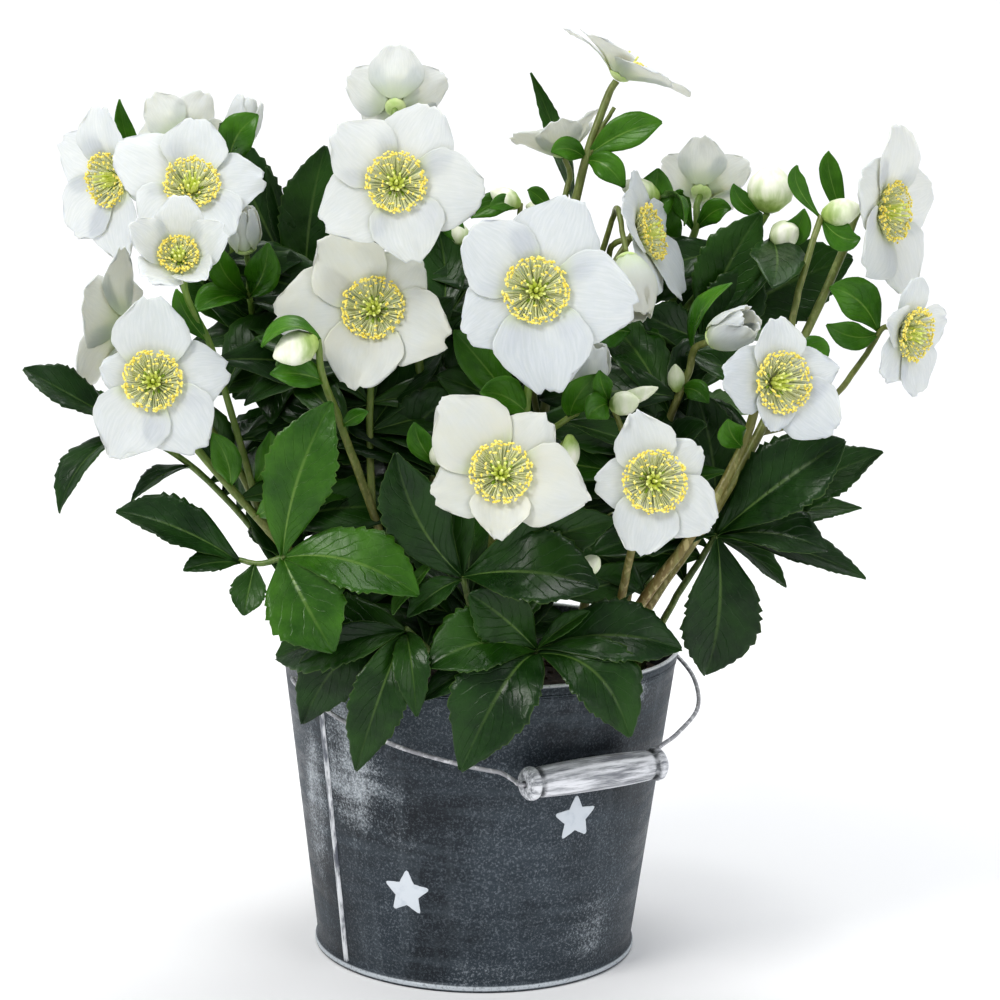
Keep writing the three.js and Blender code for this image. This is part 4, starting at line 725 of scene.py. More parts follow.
# ---------- leaves ----------
LEAF_SHEET = 0.5
LEAF_SWELL = 1.08
TOOTH_SPACING = 4.6
VEIN_SPACING = 5.2
# How far the cut edge of a toothed leaf stands out, at shares of its length.
TOOTH_ROWS = (0, 0.4, 0.72, 1)
TOOTH_SIZES = (0, 0.04, 0.14, 0)
# Rows and columns of points.
LEAF_GRID = (60, 13)
BRACT_GRID = (18, 7)
SIDE_LEAF_GRID = (34, 13)
INNER_GRID = (22, 7)
YOUNG_HUB = (-84, -97, 200)


def leaf_half(s):
    """Half the width of a leaf along its length, as a share of its width."""
    return 0.03 + 0.47 * np.abs(np.sin(math.pi * s**1.2)) ** 0.95


def add_leaflet(piece, leaf, number, grid, young):
    """A leaf bent along its rib, with sunk veins and a toothed edge; a bract has neither."""
    base, tip, width, bow = leaf[:4]
    face = leaf[4] if len(leaf) > 4 else TO_FRONT
    plain = len(leaf) != 5
    bract = grid is BRACT_GRID
    width *= 1 if bract else LEAF_SWELL
    length = float(np.linalg.norm(np.subtract(tip, base)))
    rows, columns = grid
    s, t = np.meshgrid(np.linspace(0, 1, rows), np.linspace(-1, 1, columns), indexing="ij")
    start, end = np.array(base, float), np.array(tip, float)
    middle = (start + end) / 2 + 2 * np.array(bow, float)
    w = s[:, :1]
    rib = (1 - w) ** 2 * start + 2 * w * (1 - w) * middle + w**2 * end
    along = unit(2 * (1 - w) * (middle - start) + 2 * w * (end - middle))
    side = unit(np.cross(unit(np.array(face, float)), along))
    normal = np.cross(along, side)
    seed = 3.1 * number + width
    lobes = 0 if plain else np.interp(s, TOOTH_ROWS, TOOTH_SIZES) * 0.6
    saw = (s * length / TOOTH_SPACING + 0.13 * seed + 0.5 * dent(seed, s * 9, np.sign(t))) % 1
    teeth = (0.03 if bract else 0.14) * (saw - 0.6)
    teeth = teeth * np.clip((s - 0.3) * 5, 0, 1) * np.clip((1 - s) * 9, 0, 1)
    wide = leaf_half(s) * (1 + (lobes + teeth) * np.abs(t) ** 3 + 0.035 * dent(seed, s * 5, np.sign(t)))
    across = t * width * wide
    vein = s * length / VEIN_SPACING - np.abs(across) * 0.22 + 0.1 * seed
    rib_dip = -0.5 * np.exp(-((across / 0.9) ** 2)) * (1 - 0.7 * s)
    quilt = (0 if bract else 0.22) * np.abs(np.sin(math.pi * vein)) * np.clip(np.abs(across) / 2, 0, 1)
    wave = 0.035 * width * dent(seed + 1, s * 3.4, t * 0.9) * np.abs(t)
    lift = np.abs(across) * 0.28 + wave
    points = rib[:, None].reshape(rows, 1, 3) + across[..., None] * side.reshape(rows, 1, 3)
    points = points + lift[..., None] * normal.reshape(rows, 1, 3)
    add_sheet(piece, points, LEAF_SHEET, t, s, (seed % 1, young, length / 100), rib_dip + quilt)


# ---------- stems and buds ----------
BUD_SIDES = 30
BUD_SHARES = (0, 0.06, 0.3, 0.5, 0.68, 0.88, 1)
BUD_GIRTHS = (0.2, 0.48, 0.95, 1, 0.9, 0.5, 0.1)
# Height from the soil and share of the crown's radius.
KNOB_OUTLINE = ((-8.5, 0.82), (-2, 0.84), (0.6, 0.82), (2.0, 0.66), (2.9, 0.3))
KNOB_SIDES = 28


def neck(name):
    """The last two points of the stem that carries a bloom."""
    bloom = BLOOMS.get(name) or HALF_OPEN[name]
    axes = basis(bloom["face"])
    return [(np.array(bloom["at"]) + axes[2] * depth).tolist() for depth in (-NECK, HUB_BACK - GAP)]


def add_stem(piece, stem, number):
    points, r0, r1 = stem[:3]
    route = points + (neck(stem[3]) if len(stem) > 3 else [])
    path, ways = spline(route, 7)
    s = np.linspace(0, 1, len(path))
    radii = (r0 + (r1 - r0) * s) * 0.84 * (1 + 0.05 * dent(number, s * 18))
    kinks = np.stack([dent(number + 9, s * 11), dent(number + 5, s * 10), 0 * s], 1)
    kinks = kinks * 0.35 * np.sin(math.pi * s)[:, None]
    add_rings(piece, tube_rings(path + kinks, ways, radii, 12), (number * 0.37 % 1, r0 / 3, 0))


def add_bud(piece, bud, number):
    """A closed bud: sepals wrapped over one another, with shallow seams between them."""
    base, axis, length, width = bud
    turns = circle(BUD_SIDES)
    rings = []
    for k in np.linspace(0, 1, 18):
        girth = np.interp(k, BUD_SHARES, BUD_GIRTHS)
        seam = ((turns * 5 / (2 * math.pi) + 0.5 * k + 0.2 * number) % 1) - 0.5
        radius = girth * width / 2 * 0.95 * (1 + 0.05 * seam + 0.02 * np.sin(turns * 2 + number))
        rings.append(ring_at(basis(axis), base, turns, radius, k * length))
    add_rings(piece, rings, (number * 0.31 % 1, 0, width / 20))


def crown_knob(piece, crown, number):
    """The crown of a clump, with the old sheaths of its stalks."""
    x, y, whole = crown
    turns = circle(KNOB_SIDES)
    rings = []
    for z, share in KNOB_OUTLINE:
        radius = whole * share * (1 + 0.07 * dent(number, turns * 3, z))
        rings.append(ring_at(np.eye(3), (x, y, SOIL_TOP), turns, radius, z))
    add_rings(piece, rings, (0.2, 1, 0))


# The room between the stems for the small inner leaves. Its sides lean outwards by ROOM_SPREAD.
ROOM_LOW, ROOM_HIGH = 152, 335
ROOM_FRONT, ROOM_BACK = -72, 66
ROOM_LEFT, ROOM_RIGHT = -72, 62
ROOM_FOOT, ROOM_SPREAD = 150, 0.5
INNER_TRIES = 900


def keeps_clear(points):
    """Whether the points of a leaf stay among the stems, behind the blooms and out of their cups."""
    for x, y, z in points:
        spread = ROOM_SPREAD * (z - ROOM_FOOT)
        inside = ROOM_LEFT - spread < x < ROOM_RIGHT + spread
        if not (inside and ROOM_LOW < z < ROOM_HIGH and ROOM_FRONT < y < ROOM_BACK):
            return False
    for bloom in list(BLOOMS.values()) + list(HALF_OPEN.values()):
        size = mean_length(bloom)
        away = points - np.array(bloom["at"])
        ahead = away @ basis(bloom["face"])[2]
        near = np.linalg.norm(away, axis=1) < size + 7
        if np.any(near & (ahead > -7)):
            return False
        if np.any((away[:, 1] < 6) & (np.hypot(away[:, 0], away[:, 2]) < size + 9)):
            return False
    return True


def inner_leaves(name, clump):
    """The dark leaflets deep among the stalks, each growing from one of the clump's own stalks."""
    rng = np.random.default_rng(500 + len(name) * 7 + len(clump["leaves"]))
    leaves = []
    for _ in range(INNER_TRIES):
        if len(leaves) == clump["inner"]:
            break
        stem = clump["stems"][rng.integers(len(clump["stems"]))]
        path, _ = spline(stem[0], 6)
        base = path[int(len(path) * rng.uniform(0.3, 0.98))]
        turn, rise = rng.uniform(0, 2 * math.pi), rng.uniform(-0.4, 1.0)
        way = unit(np.array([math.cos(turn), math.sin(turn) * 0.7, rise]))
        length = rng.uniform(38, 64)
        tip = base + way * length
        bow = (rng.uniform(-3, 3, 3) + [0, 0, 3]).tolist()
        spread = base + (tip - base) * np.linspace(0.35, 1, 6)[:, None]
        if keeps_clear(spread):
            face = (0.6 * UP + np.array([0, -0.7, 0]) + 0.25 * rng.uniform(-1, 1, 3)).tolist()
            leaves.append([base.tolist(), tip.tolist(), length * rng.uniform(0.34, 0.44), bow, face, 1])
    return leaves


def build_plant(looks):
    for index, (name, bloom) in enumerate(BLOOMS.items()):
        cream = 0.9 if name in ("bloom_07", "bloom_11") else 0.15 * (index % 3)
        full = 0.42 if bloom["form"] is CUP else 0.5
        build_petals(name, "petals_" + name[-2:], bloom, index, cream, full, looks)
        centre = Piece("centre_" + name[-2:], "pot", "stamens", name.replace("bloom", "stamens"))
        add_centre(centre, bloom, index)
        centre.build(looks["filament"], looks["anther"], looks["nectary"], looks["pistil"])
    for index, (name, bloom) in enumerate(HALF_OPEN.items()):
        withered = 1.0 if name == "half_open_5" else 0.3
        build_petals(name, "petals_" + name, bloom, index + 0.5, withered, 0.4, looks)
    for index, (name, clump) in enumerate(CLUMPS.items()):
        build_clump(name, clump, index, looks)


def build_clump(name, clump, index, looks):
    flowering = name.startswith("stems")
    kind = "stems" if flowering else "leaves"
    stalks = Piece("stalks_" + name, "pot", kind, name)
    crown_knob(stalks, clump["crown"], index)
    for k, stem in enumerate(clump["stems"]):
        add_stem(stalks, stem, index * 7 + k)
    brown = name in ("stems_right", "stems_top")
    stalks.build(looks["brown_stem"] if brown else looks["stem"] if flowering else looks["stalk"])
    leaves = Piece(("bracts_" if flowering else "leaves_") + name, "pot", kind, name)
    for k, leaf in enumerate(clump["leaves"]):
        young = 0.8 if flowering else 0.5 if leaf[0] == YOUNG_HUB else 0.07 * (k % 3)
        add_leaflet(leaves, leaf, index * 20 + k, BRACT_GRID if flowering else LEAF_GRID, young)
    for k, (leaf, young) in enumerate(MORE_LEAVES.get(name, [])):
        add_leaflet(leaves, leaf, index * 20 + k + 9, SIDE_LEAF_GRID, young)
    for k, leaf in enumerate(inner_leaves(name, clump)):
        add_leaflet(leaves, leaf, index * 30 + k, INNER_GRID, 0.05 * (k % 5))
    leaves.build(looks["leaf"])
    if clump["buds"]:
        buds = Piece("buds_" + name, "pot", kind, name)
        for k, bud in enumerate(clump["buds"]):
            add_bud(buds, bud, index * 5 + k)
        buds.build(looks["bud"])


# ---------- bucket ----------
WALL_SHEET = 1.2
BUCKET_SIDES = 160
SOIL_SIDES = 110
CHIPS = 340
# Across the folded seam: distance from its middle, and out from the wall.
SEAM_SECTION = ((-2.6, -0.3), (-1.7, 0.15), (-1.5, 0.62), (-0.9, 0.82),
                (0.6, 0.8), (1.15, 0.6), (1.35, 0.1), (1.6, -0.3))


def wall_radius(z):
    """Radius of the outer wall at a height."""
    return BASE_RADIUS + (RIM_RADIUS - BASE_RADIUS) * z / BUCKET_HEIGHT


def on_wall(azimuth, z, out=0.0):
    """A point of the outer wall at an azimuth from the front towards the right, in degrees."""
    a = np.asarray(azimuth) * DEG
    r = wall_radius(np.asarray(z, float)) + out
    return np.stack([np.sin(a) * r, -np.cos(a) * r, np.asarray(z, float) + 0 * r], -1)


def build_bucket(looks):
    top = BUCKET_HEIGHT
    bucket = Piece("bucket_shell", "pot", "zinc", "bucket")
    roll = []
    for a in np.linspace(-2.2, math.pi, 12):
        roll.append([RIM_RADIUS - WALL_SHEET + 0.9 + 0.95 * math.cos(a), top - 1.0 + 0.98 * math.sin(a)])
    foot = [(-6, 0.02), (-1, 0.02), (-0.2, 0.5), (0, 1.2), (0, 2.4), (-0.4, 3.3)]
    outline = [[0, 0.02]] + [[FOOT_RADIUS + out, z] for out, z in foot] + [[wall_radius(3.9), 3.9]]
    outline += [[wall_radius(z), z] for z in np.linspace(4.4, top - 2.6, 40)] + roll
    inside = list(np.linspace(top - 2, 100, 12)) + [90]
    outline += [[wall_radius(z) - WALL_SHEET, z] for z in inside] + [[0, 90]]
    lathe(bucket, outline, BUCKET_SIDES)
    for z, proud in ((top - 5.4, 0.35), (top - 6.4, 0.28)):
        r = wall_radius(z)
        ring = [[r - 0.3, z - 0.8], [r + proud, z - 0.3], [r + proud, z + 0.3], [r - 0.3, z + 0.8]]
        lathe(bucket, ring + ring[:1], BUCKET_SIDES)
    add_seam(bucket)
    bucket.build(looks["zinc"], looks["bare_zinc"])


def add_seam(bucket):
    """The folded seam down the wall, with its crease beside it."""
    rings = []
    for height in np.linspace(2.4, BUCKET_HEIGHT - 2.4, 50):
        drift = 0.12 * dent(3, height * 0.11)
        degree = wall_radius(height) * DEG
        ring = []
        for side, out in SEAM_SECTION[::-1]:
            ring.append(on_wall(SEAM_AZIMUTH + (side + drift) / degree, height, out))
        rings.append(ring)
    add_rings(bucket, rings, (1, 0, 0), 1)


# Azimuth and height of each star's middle, its outer radius and its lean.
STARS = ((31.5, 80.7, 11.9, -3), (-22.5, 45.4, 11.9, 2), (-108, 92, 10.2, 8), (-152, 50, 10.6, -6),
         (150, 88, 10.2, 4), (98, 47, 10.6, -3))
STAR_SHARES = (1.0, 0.985, 0.9, 0.72, 0.5, 0.25, 0.06)
STAR_SIDES = 80


def star_reach(turn, outer):
    """The straight edge of a hand-painted star with blunt points, in a direction from its middle."""
    fifth = abs(((turn / 72) % 1) - 0.5) * 72 * DEG
    tenth = 36 * DEG
    inner = 0.49 * outer
    edge = outer * inner * math.sin(tenth) / (outer * math.sin(tenth - fifth) + inner * math.sin(fifth))
    return min(edge, outer * 0.9)


def build_stars(looks):
    stars = Piece("painted_stars", "pot", "zinc")
    for number, (azimuth, height, outer, lean) in enumerate(STARS):
        rings = []
        for share in STAR_SHARES:
            ring = []
            for k in range(STAR_SIDES):
                turn = k * 360 / STAR_SIDES
                reach = star_reach(turn, outer) * share * (1 + 0.02 * dent(number, turn * 0.1))
                side = reach * math.sin((turn + lean) * DEG)
                rise = reach * math.cos((turn + lean) * DEG)
                out = 0.02 if share == 1 else 0.14
                ring.append(on_wall(azimuth + side / wall_radius(height) / DEG, height + rise, out))
            rings.append(ring)
        add_rings(stars, rings, (number * 0.17, 0, 0))
    stars.build(looks["star"])


# ---------- bail, grip and ears ----------
bail_turn = BAIL_AZIMUTH * DEG
bail_axis = np.array([math.cos(bail_turn), math.sin(bail_turn), 0])
bail_out = np.array([math.sin(bail_turn), -math.cos(bail_turn), 0])
bail_down = bail_out * math.sin(LEAN * DEG) - UP * math.cos(LEAN * DEG)
pivot = np.array([0, 0, PIVOT_HEIGHT], float)
# Radius, and distance from the middle, of half of the turned grip.
GRIP_SIDE = ((1.6, 36), (4.0, 36), (6.0, 35.6), (7.1, 34.4), (7.4, 32.6), (7.1, 31.4), (5.9, 30.6),
             (5.7, 30), (5.9, 29.4), (6.6, 28.4), (6.9, 24), (7.2, 17), (7.4, 8))
# Depth from the wall, and size, of the rings of an ear's plate, its eyelet and its rivets.
PLATE_RINGS = ((0, 0.98), (0.9, 1.0), (1.15, 0.97), (1.2, 0.86), (1.3, 0.76))
EYELET_RINGS = ((1.5, 5.4), (2.4, 4.8), (3.3, 4.0), (3.7, 3.0), (3.8, 2.1), (3.6, 1.5), (0.8, 1.45))
RIVET_RINGS = ((1.0, 1.3), (1.7, 1.25), (2.1, 0.9), (2.25, 0.3))
PLATE_WIDE, PLATE_HIGH, PLATE_DROP = 7.2, 6.2, 1.6
RIVET_APART, RIVET_DROP = 5.3, 6.2


def in_bail(along, away):
    return (pivot + bail_axis * along + bail_down * away).tolist()


def bail_side(sign, bow):
    """One half of the wire, from its ear to the end of the grip."""
    points = [in_bail(sign * (EAR_REACH + beyond), 0) for beyond in (-4.2, -1, 1.6)]
    for angle in (8, 22, 38, 54):
        swell = BAIL_RADIUS + bow * math.sin(angle * 3 * DEG)
        points.append(in_bail(sign * swell * math.cos(angle * DEG), swell * math.sin(angle * DEG)))
    for along, away in ((10, 87.5), (5.5, 90.5), (3, 97), (0.9, GRIP_REACH)):
        points.append(in_bail(sign * (GRIP_HALF + along), away))
    return points


def build_bail(looks):
    wire = Piece("bail", "bail", "wire", "bail_wire")
    middle = [in_bail(along, GRIP_REACH) for along in (-20, 0, 20)]
    path, ways = spline(bail_side(-1, 0) + middle + bail_side(1, 6)[::-1], 8)
    add_rings(wire, tube_rings(path, ways, np.full(len(path), 0.98), 14))
    wire.build(looks["wire"])
    grip = Piece("turned_grip", "grip", "grip_wood", "grip")
    far_side = [(r, -x) for r, x in GRIP_SIDE[::-1]]
    outline = [*GRIP_SIDE, (7.45, 0), *far_side, (1.6, -GRIP_HALF), (1.6, GRIP_HALF)]
    matrix = np.stack([bail_down, np.cross(bail_axis, bail_down), bail_axis], 1)
    lathe(grip, outline[::-1], 48, matrix=(matrix, np.array(in_bail(0, GRIP_REACH))))
    grip.build(looks["wood"])


def squared(turn):
    """Reach of a rounded square in a direction, 1 at the middle of its sides."""
    return 1 / (abs(math.cos(turn)) ** 5 + abs(math.sin(turn)) ** 5) ** 0.2


def build_ears(looks):
    for sign, name in ((-1, "ear_left"), (1, "ear_right")):
        piece = Piece(name + "_plate", "pot", "ears", name)
        axis = bail_axis * sign
        wall = wall_radius(PIVOT_HEIGHT) + GAP
        taper = (RIM_RADIUS - BASE_RADIUS) / BUCKET_HEIGHT

        def at(depth, side, rise):
            return pivot + axis * (wall + depth + rise * taper) + bail_out * side + UP * rise

        turns = circle(40) * sign
        rings = []
        for depth, share in PLATE_RINGS:
            ring = []
            for a in turns:
                square = share * squared(a)
                rise = PLATE_HIGH * square * math.sin(a) - PLATE_DROP
                ring.append(at(depth, PLATE_WIDE * square * math.cos(a), rise))
            rings.append(ring)
        for depth, radius in EYELET_RINGS:
            rings.append([at(depth, radius * math.cos(a), radius * math.sin(a)) for a in turns])
        add_rings(piece, rings)
        for side in (-RIVET_APART, RIVET_APART):
            rivet = []
            for depth, radius in RIVET_RINGS:
                spots = [(side + radius * math.cos(a), radius * math.sin(a)) for a in turns[::2]]
                rivet.append([at(depth, x, y - RIVET_DROP) for x, y in spots])
            add_rings(piece, rivet, mark=1)
        piece.build(looks["ear"], looks["bare_zinc"])


# ---------- soil ----------
def build_soil(looks):
    soil = Piece("soil_top", "pot", "soil", "soil")
    inset = WALL_SHEET + 0.6
    edge = wall_radius(SOIL_TOP) - inset
    turns = circle(SOIL_SIDES)
    rings = []
    for z in (94, 110, SOIL_TOP - 1.6):
        rings.append(ring_at(np.eye(3), (0, 0, 0), turns, wall_radius(z) - inset, z))
    for r in [edge - 1] + list(np.linspace(edge - 3, 1, 34)):
        x, y = r * np.cos(turns), r * np.sin(turns)
        rough = 0.55 * dent(1, x * 0.21, y * 0.23) + 0.4 * dent(2, x * 0.61, y * 0.57) - 0.6
        rings.append(np.stack([x, y, SOIL_TOP + rough], 1))
    add_rings(soil, rings)
    rng = np.random.default_rng(7)
    for k in range(CHIPS):
        r, turn = (edge - 5) * math.sqrt(rng.uniform(0, 1)), rng.uniform(0, 2 * math.pi)
        base = np.array([r * math.cos(turn), r * math.sin(turn), SOIL_TOP - 1.2])
        tip = base + [rng.uniform(-1.5, 1.5), rng.uniform(-1.5, 1.5), rng.uniform(1.4, 2.6)]
        add_spindle(soil, base, tip, (0.9, 1.6, 1.5, 0.7), 6, 5, rng.uniform(), int(k % 9 == 0))
    soil.build(looks["soil"], looks["chip"])


# ---------- finishes ----------
class Look:
    """A node material built up call by call."""

    def __init__(self, name, roughness=0.5, **values):
        self.material = bpy.data.materials.new(name)
        self.material.use_nodes = True
        self.tree = self.material.node_tree
        self.shader = self.tree.nodes["Principled BSDF"]
        self.shader.inputs["Roughness"].default_value = roughness
        for key, value in values.items():
            self.shader.inputs[key.replace("_", " ")].default_value = value

    def node(self, kind, settings=(), **inputs):
        made = self.tree.nodes.new("ShaderNode" + kind)
        for key, value in dict(settings).items():
            setattr(made, key, value)
        for key, value in inputs.items():
            by_number = key[0] == "i" and key[1:].isdigit()
            self.put(made.inputs[int(key[1:]) if by_number else key.replace("_", " ")], value)
        return made

    def put(self, socket, value):
        if isinstance(value, bpy.types.NodeSocket):
            self.tree.links.new(value, socket)
        elif isinstance(value, (tuple, list)) and len(value) == 3 and socket.type == "RGBA":
            socket.default_value = (*value, 1)
        else:
            socket.default_value = value

    def read(self, name):
        vector = self.node("Attribute", {"attribute_name": name}).outputs["Vector"]
        parts = self.node("SeparateXYZ", Vector=vector)
        return tuple(parts.outputs)

    def where(self):
        return self.node("TexCoord").outputs["Object"]

    def math(self, operation, a, b=0.0, c=0.0):
        made = self.node("Math", {"operation": operation}, i0=a, i1=b)
        if operation == "MULTIPLY_ADD":
            self.put(made.inputs[2], c)
        return made.outputs[0]

    def times(self, a, b):
        return self.math("MULTIPLY", a, b)

    def plus(self, a, b):
        return self.math("ADD", a, b)

    def minus(self, a, b):
        return self.math("SUBTRACT", a, b)

    def most(self, a, b):
        return self.math("MAXIMUM", a, b)

    def distance(self, a, b=0.0):
        return self.math("ABSOLUTE", self.minus(a, b) if b else a)

    def band(self, value, low, high, start=0.0, end=1.0):
        """A smooth step from start to end as the value goes from low to high."""
        made = self.node("MapRange", {"interpolation_type": "SMOOTHSTEP"}, Value=value)
        for name, limit in zip(("From Min", "From Max", "To Min", "To Max"), (low, high, start, end)):
            made.inputs[name].default_value = limit
        return made.outputs[0]

    def noise(self, scale, detail, vector=None, stretch=None, roughness=0.55, distortion=0.0):
        vector = vector or self.where()
        if stretch:
            vector = self.node("Mapping", Vector=vector, Scale=stretch).outputs[0]
        made = self.node("TexNoise", Vector=vector, Scale=scale, Detail=detail, Roughness=roughness)
        made.inputs["Distortion"].default_value = distortion
        return made.outputs["Fac"]

    def fade(self, value, low, high, a, b):
        """From a to b as the value goes from low to high."""
        return self.mix(self.band(value, low, high), a, b)

    def mix(self, share, a, b):
        made = self.node("Mix", {"data_type": "RGBA"})
        self.put(made.inputs[0], share)
        self.put(made.inputs[6], a)
        self.put(made.inputs[7], b)
        return made.outputs[2]

    def join(self, *vector):
        made = self.node("CombineXYZ")
        for socket, value in zip(made.inputs, vector):
            self.put(socket, value)
        return made.outputs[0]

    def finish(self, color, roughness=None, height=None, distance=0.0005, strength=0.6, metallic=None):
        self.put(self.shader.inputs["Base Color"], color)
        if roughness is not None:
            self.put(self.shader.inputs["Roughness"], roughness)
        if metallic is not None:
            self.put(self.shader.inputs["Metallic"], metallic)
        if height is not None:
            bump = self.node("Bump", Height=height, Distance=distance, Strength=strength)
            self.put(self.shader.inputs["Normal"], bump.outputs[0])
        return self.material


def petal_look():
    look = Look("petal", 0.5, Subsurface_Weight=0.45, Subsurface_Scale=0.006)
    look.shader.inputs["Subsurface Radius"].default_value = (1.0, 0.9, 0.6)
    along, across, side = look.read("place")
    chance, cream, _ = look.read("look")
    vector = look.join(look.times(along, 2.2), look.times(across, 9.0), chance)
    streak = look.noise(2.2, 4, vector)
    white = look.fade(streak, 0.3, 0.75, (0.615, 0.655, 0.64), (0.69, 0.72, 0.705))
    cloud = look.band(look.noise(60, 3), 0.2, 0.8, 0.4, 1)
    warm = look.mix(look.times(cream, cloud), white, (0.73, 0.72, 0.56))
    centre = look.times(look.band(along, 0.38, 0.02), look.band(streak, 0.15, 0.7, 0.45, 1))
    base = look.mix(centre, warm, (0.58, 0.7, 0.3))
    back = look.times(side, look.band(along, 0.75, 0.05, 0.03, 0.6))
    tinted = look.mix(back, base, (0.64, 0.72, 0.5))
    vein = look.math("SINE", look.plus(look.times(across, 34.0), look.times(streak, 5.0)))
    thin = look.times(look.band(vein, 0.75, 1.0), look.band(along, 1.0, 0.1, 0.05, 0.5))
    color = look.mix(look.times(thin, 0.2), tinted, (0.72, 0.77, 0.66))
    height = look.plus(look.times(vein, 0.12), look.noise(300, 3))
    return look.finish(color, look.band(streak, 0.2, 0.8, 0.45, 0.6), height, 0.0003, 0.25)


def sepal_base_look():
    look = Look("petal_base", 0.5)
    color = look.fade(look.noise(260, 3), 0.3, 0.7, (0.5, 0.66, 0.24), (0.66, 0.76, 0.38))
    return look.finish(color, height=look.noise(700, 2), distance=0.0002)


def simple_look(name, dark, light, scale, roughness, low=0.3, high=0.7, relief=0.0002, **values):
    """Two colours in an even grain, the lighter one more on some things than on others."""
    look = Look(name, roughness, **values)
    chance, _, _ = look.read("look")
    grain = look.noise(scale, 3)
    share = look.plus(look.band(grain, low, high, 0, 0.7), look.times(chance, 0.3))
    return look.finish(look.mix(share, dark, light), height=grain, distance=relief)


def leaf_look():
    look = Look("leaf", 0.32, Specular_IOR_Level=0.3)
    along, across, side = look.read("place")
    _, young, length = look.read("look")
    mottle = look.noise(55, 4)
    dark = look.fade(mottle, 0.3, 0.72, (0.004, 0.021, 0.003), (0.014, 0.052, 0.006))
    fresh = look.fade(mottle, 0.3, 0.72, (0.032, 0.125, 0.004), (0.08, 0.235, 0.01))
    upper = look.mix(young, dark, fresh)
    far = look.distance(across)
    run = look.times(look.times(along, length), 15.0)
    bend_back = look.minus(run, look.times(far, 3.0))
    wander = look.times(look.noise(90, 2), 1.3)
    comb = look.distance(look.math("FRACT", look.plus(bend_back, wander)), 0.5)
    vein = look.times(look.band(comb, 0.075, 0.0), look.band(far, 1.0, 0.1, 0.15, 0.8))
    rib = look.times(look.band(far, 0.07, 0.015), look.band(along, 1.0, 0.05, 0.15, 1.0))
    net = look.node("TexVoronoi", {"feature": "DISTANCE_TO_EDGE"}, Vector=look.where(), Scale=300.0)
    mesh = look.band(net.outputs["Distance"], 0.12, 0.0, 0.0, 0.4)
    lines = look.most(look.times(vein, 0.6), look.times(mesh, 0.4))
    pale = look.mix(young, (0.05, 0.13, 0.03), (0.16, 0.34, 0.04))
    upper = look.mix(look.times(lines, 0.3), upper, pale)
    pale = look.mix(young, (0.12, 0.2, 0.05), (0.24, 0.38, 0.08))
    upper = look.mix(look.times(rib, 0.75), upper, pale)
    under = look.fade(mottle, 0.3, 0.7, (0.06, 0.13, 0.035), (0.11, 0.2, 0.06))
    under = look.mix(look.most(look.times(vein, 0.6), rib), under, (0.2, 0.3, 0.11))
    color = look.mix(side, upper, under)
    rim = look.times(look.band(far, 0.96, 1.0), 0.3)
    color = look.mix(rim, color, (0.14, 0.22, 0.05))
    height = look.minus(look.times(mesh, -0.15), look.times(vein, 1.2))
    height = look.plus(height, look.times(look.noise(70, 2), 2.5))
    return look.finish(color, look.band(mottle, 0.2, 0.8, 0.26, 0.4), height, 0.0008, 0.45)


def stem_look(name, foot, top, speckle):
    look = Look(name, 0.42)
    height = look.node("SeparateXYZ", Vector=look.where()).outputs[2]
    chance, _, _ = look.read("look")
    rise = look.band(look.plus(height, look.times(chance, 0.05)), 0.14, 0.33)
    ground = look.mix(rise, foot, top)
    spots = look.band(look.noise(520, 3, stretch=(1, 1, 0.45)), 0.5, 0.62)
    color = look.mix(look.times(spots, look.band(rise, 1.0, 0.0, 0.15, 0.8)), ground, speckle)
    streak = look.noise(300, 3, stretch=(1, 1, 0.12))
    color = look.mix(look.band(streak, 0.4, 0.7, 0.0, 0.3), color, (0.3, 0.38, 0.12))
    return look.finish(color, height=streak, distance=0.0004)


def bud_look():
    look = Look("bud", 0.45)
    along, _, _ = look.read("place")
    streak = look.noise(240, 3, stretch=(1, 1, 0.3))
    tip = look.fade(streak, 0.3, 0.7, (0.72, 0.78, 0.55), (0.9, 0.9, 0.78))
    green = look.fade(streak, 0.3, 0.7, (0.28, 0.42, 0.09), (0.45, 0.58, 0.18))
    share = look.band(look.plus(along, look.times(streak, 0.3)), 0.25, 0.8)
    return look.finish(look.mix(share, green, tip), height=streak, distance=0.0003)


def worn_patch(look, centre, size):
    """1 at a place on the wall and 0 outside it, fading with distance. Lengths in metres."""
    moved = look.node("VectorMath", {"operation": "SUBTRACT"}, i0=look.where(), i1=centre).outputs[0]
    scaled = look.node("VectorMath", {"operation": "DIVIDE"}, i0=moved, i1=size).outputs[0]
    far = look.node("VectorMath", {"operation": "LENGTH"}, i0=scaled).outputs["Value"]
    return look.band(far, 1.0, 0.25)


# Azimuth and height of each patch, its size in metres and how worn it is.
WORN_PATCHES = (
    (-44, 112, (0.018, 0.022, 0.034), 0.62), (-41, 92, (0.03, 0.036, 0.04), 0.68),
    (-30, 82, (0.045, 0.04, 0.035), 0.4), (-62, 70, (0.012, 0.03, 0.085), 0.6),
    (46, 134, (0.026, 0.03, 0.012), 0.75), (44, 24, (0.03, 0.034, 0.03), 0.36),
    (5, 8, (0.07, 0.03, 0.012), 0.2), (150, 100, (0.06, 0.05, 0.04), 0.4),
    (-140, 40, (0.06, 0.05, 0.04), 0.36),
)


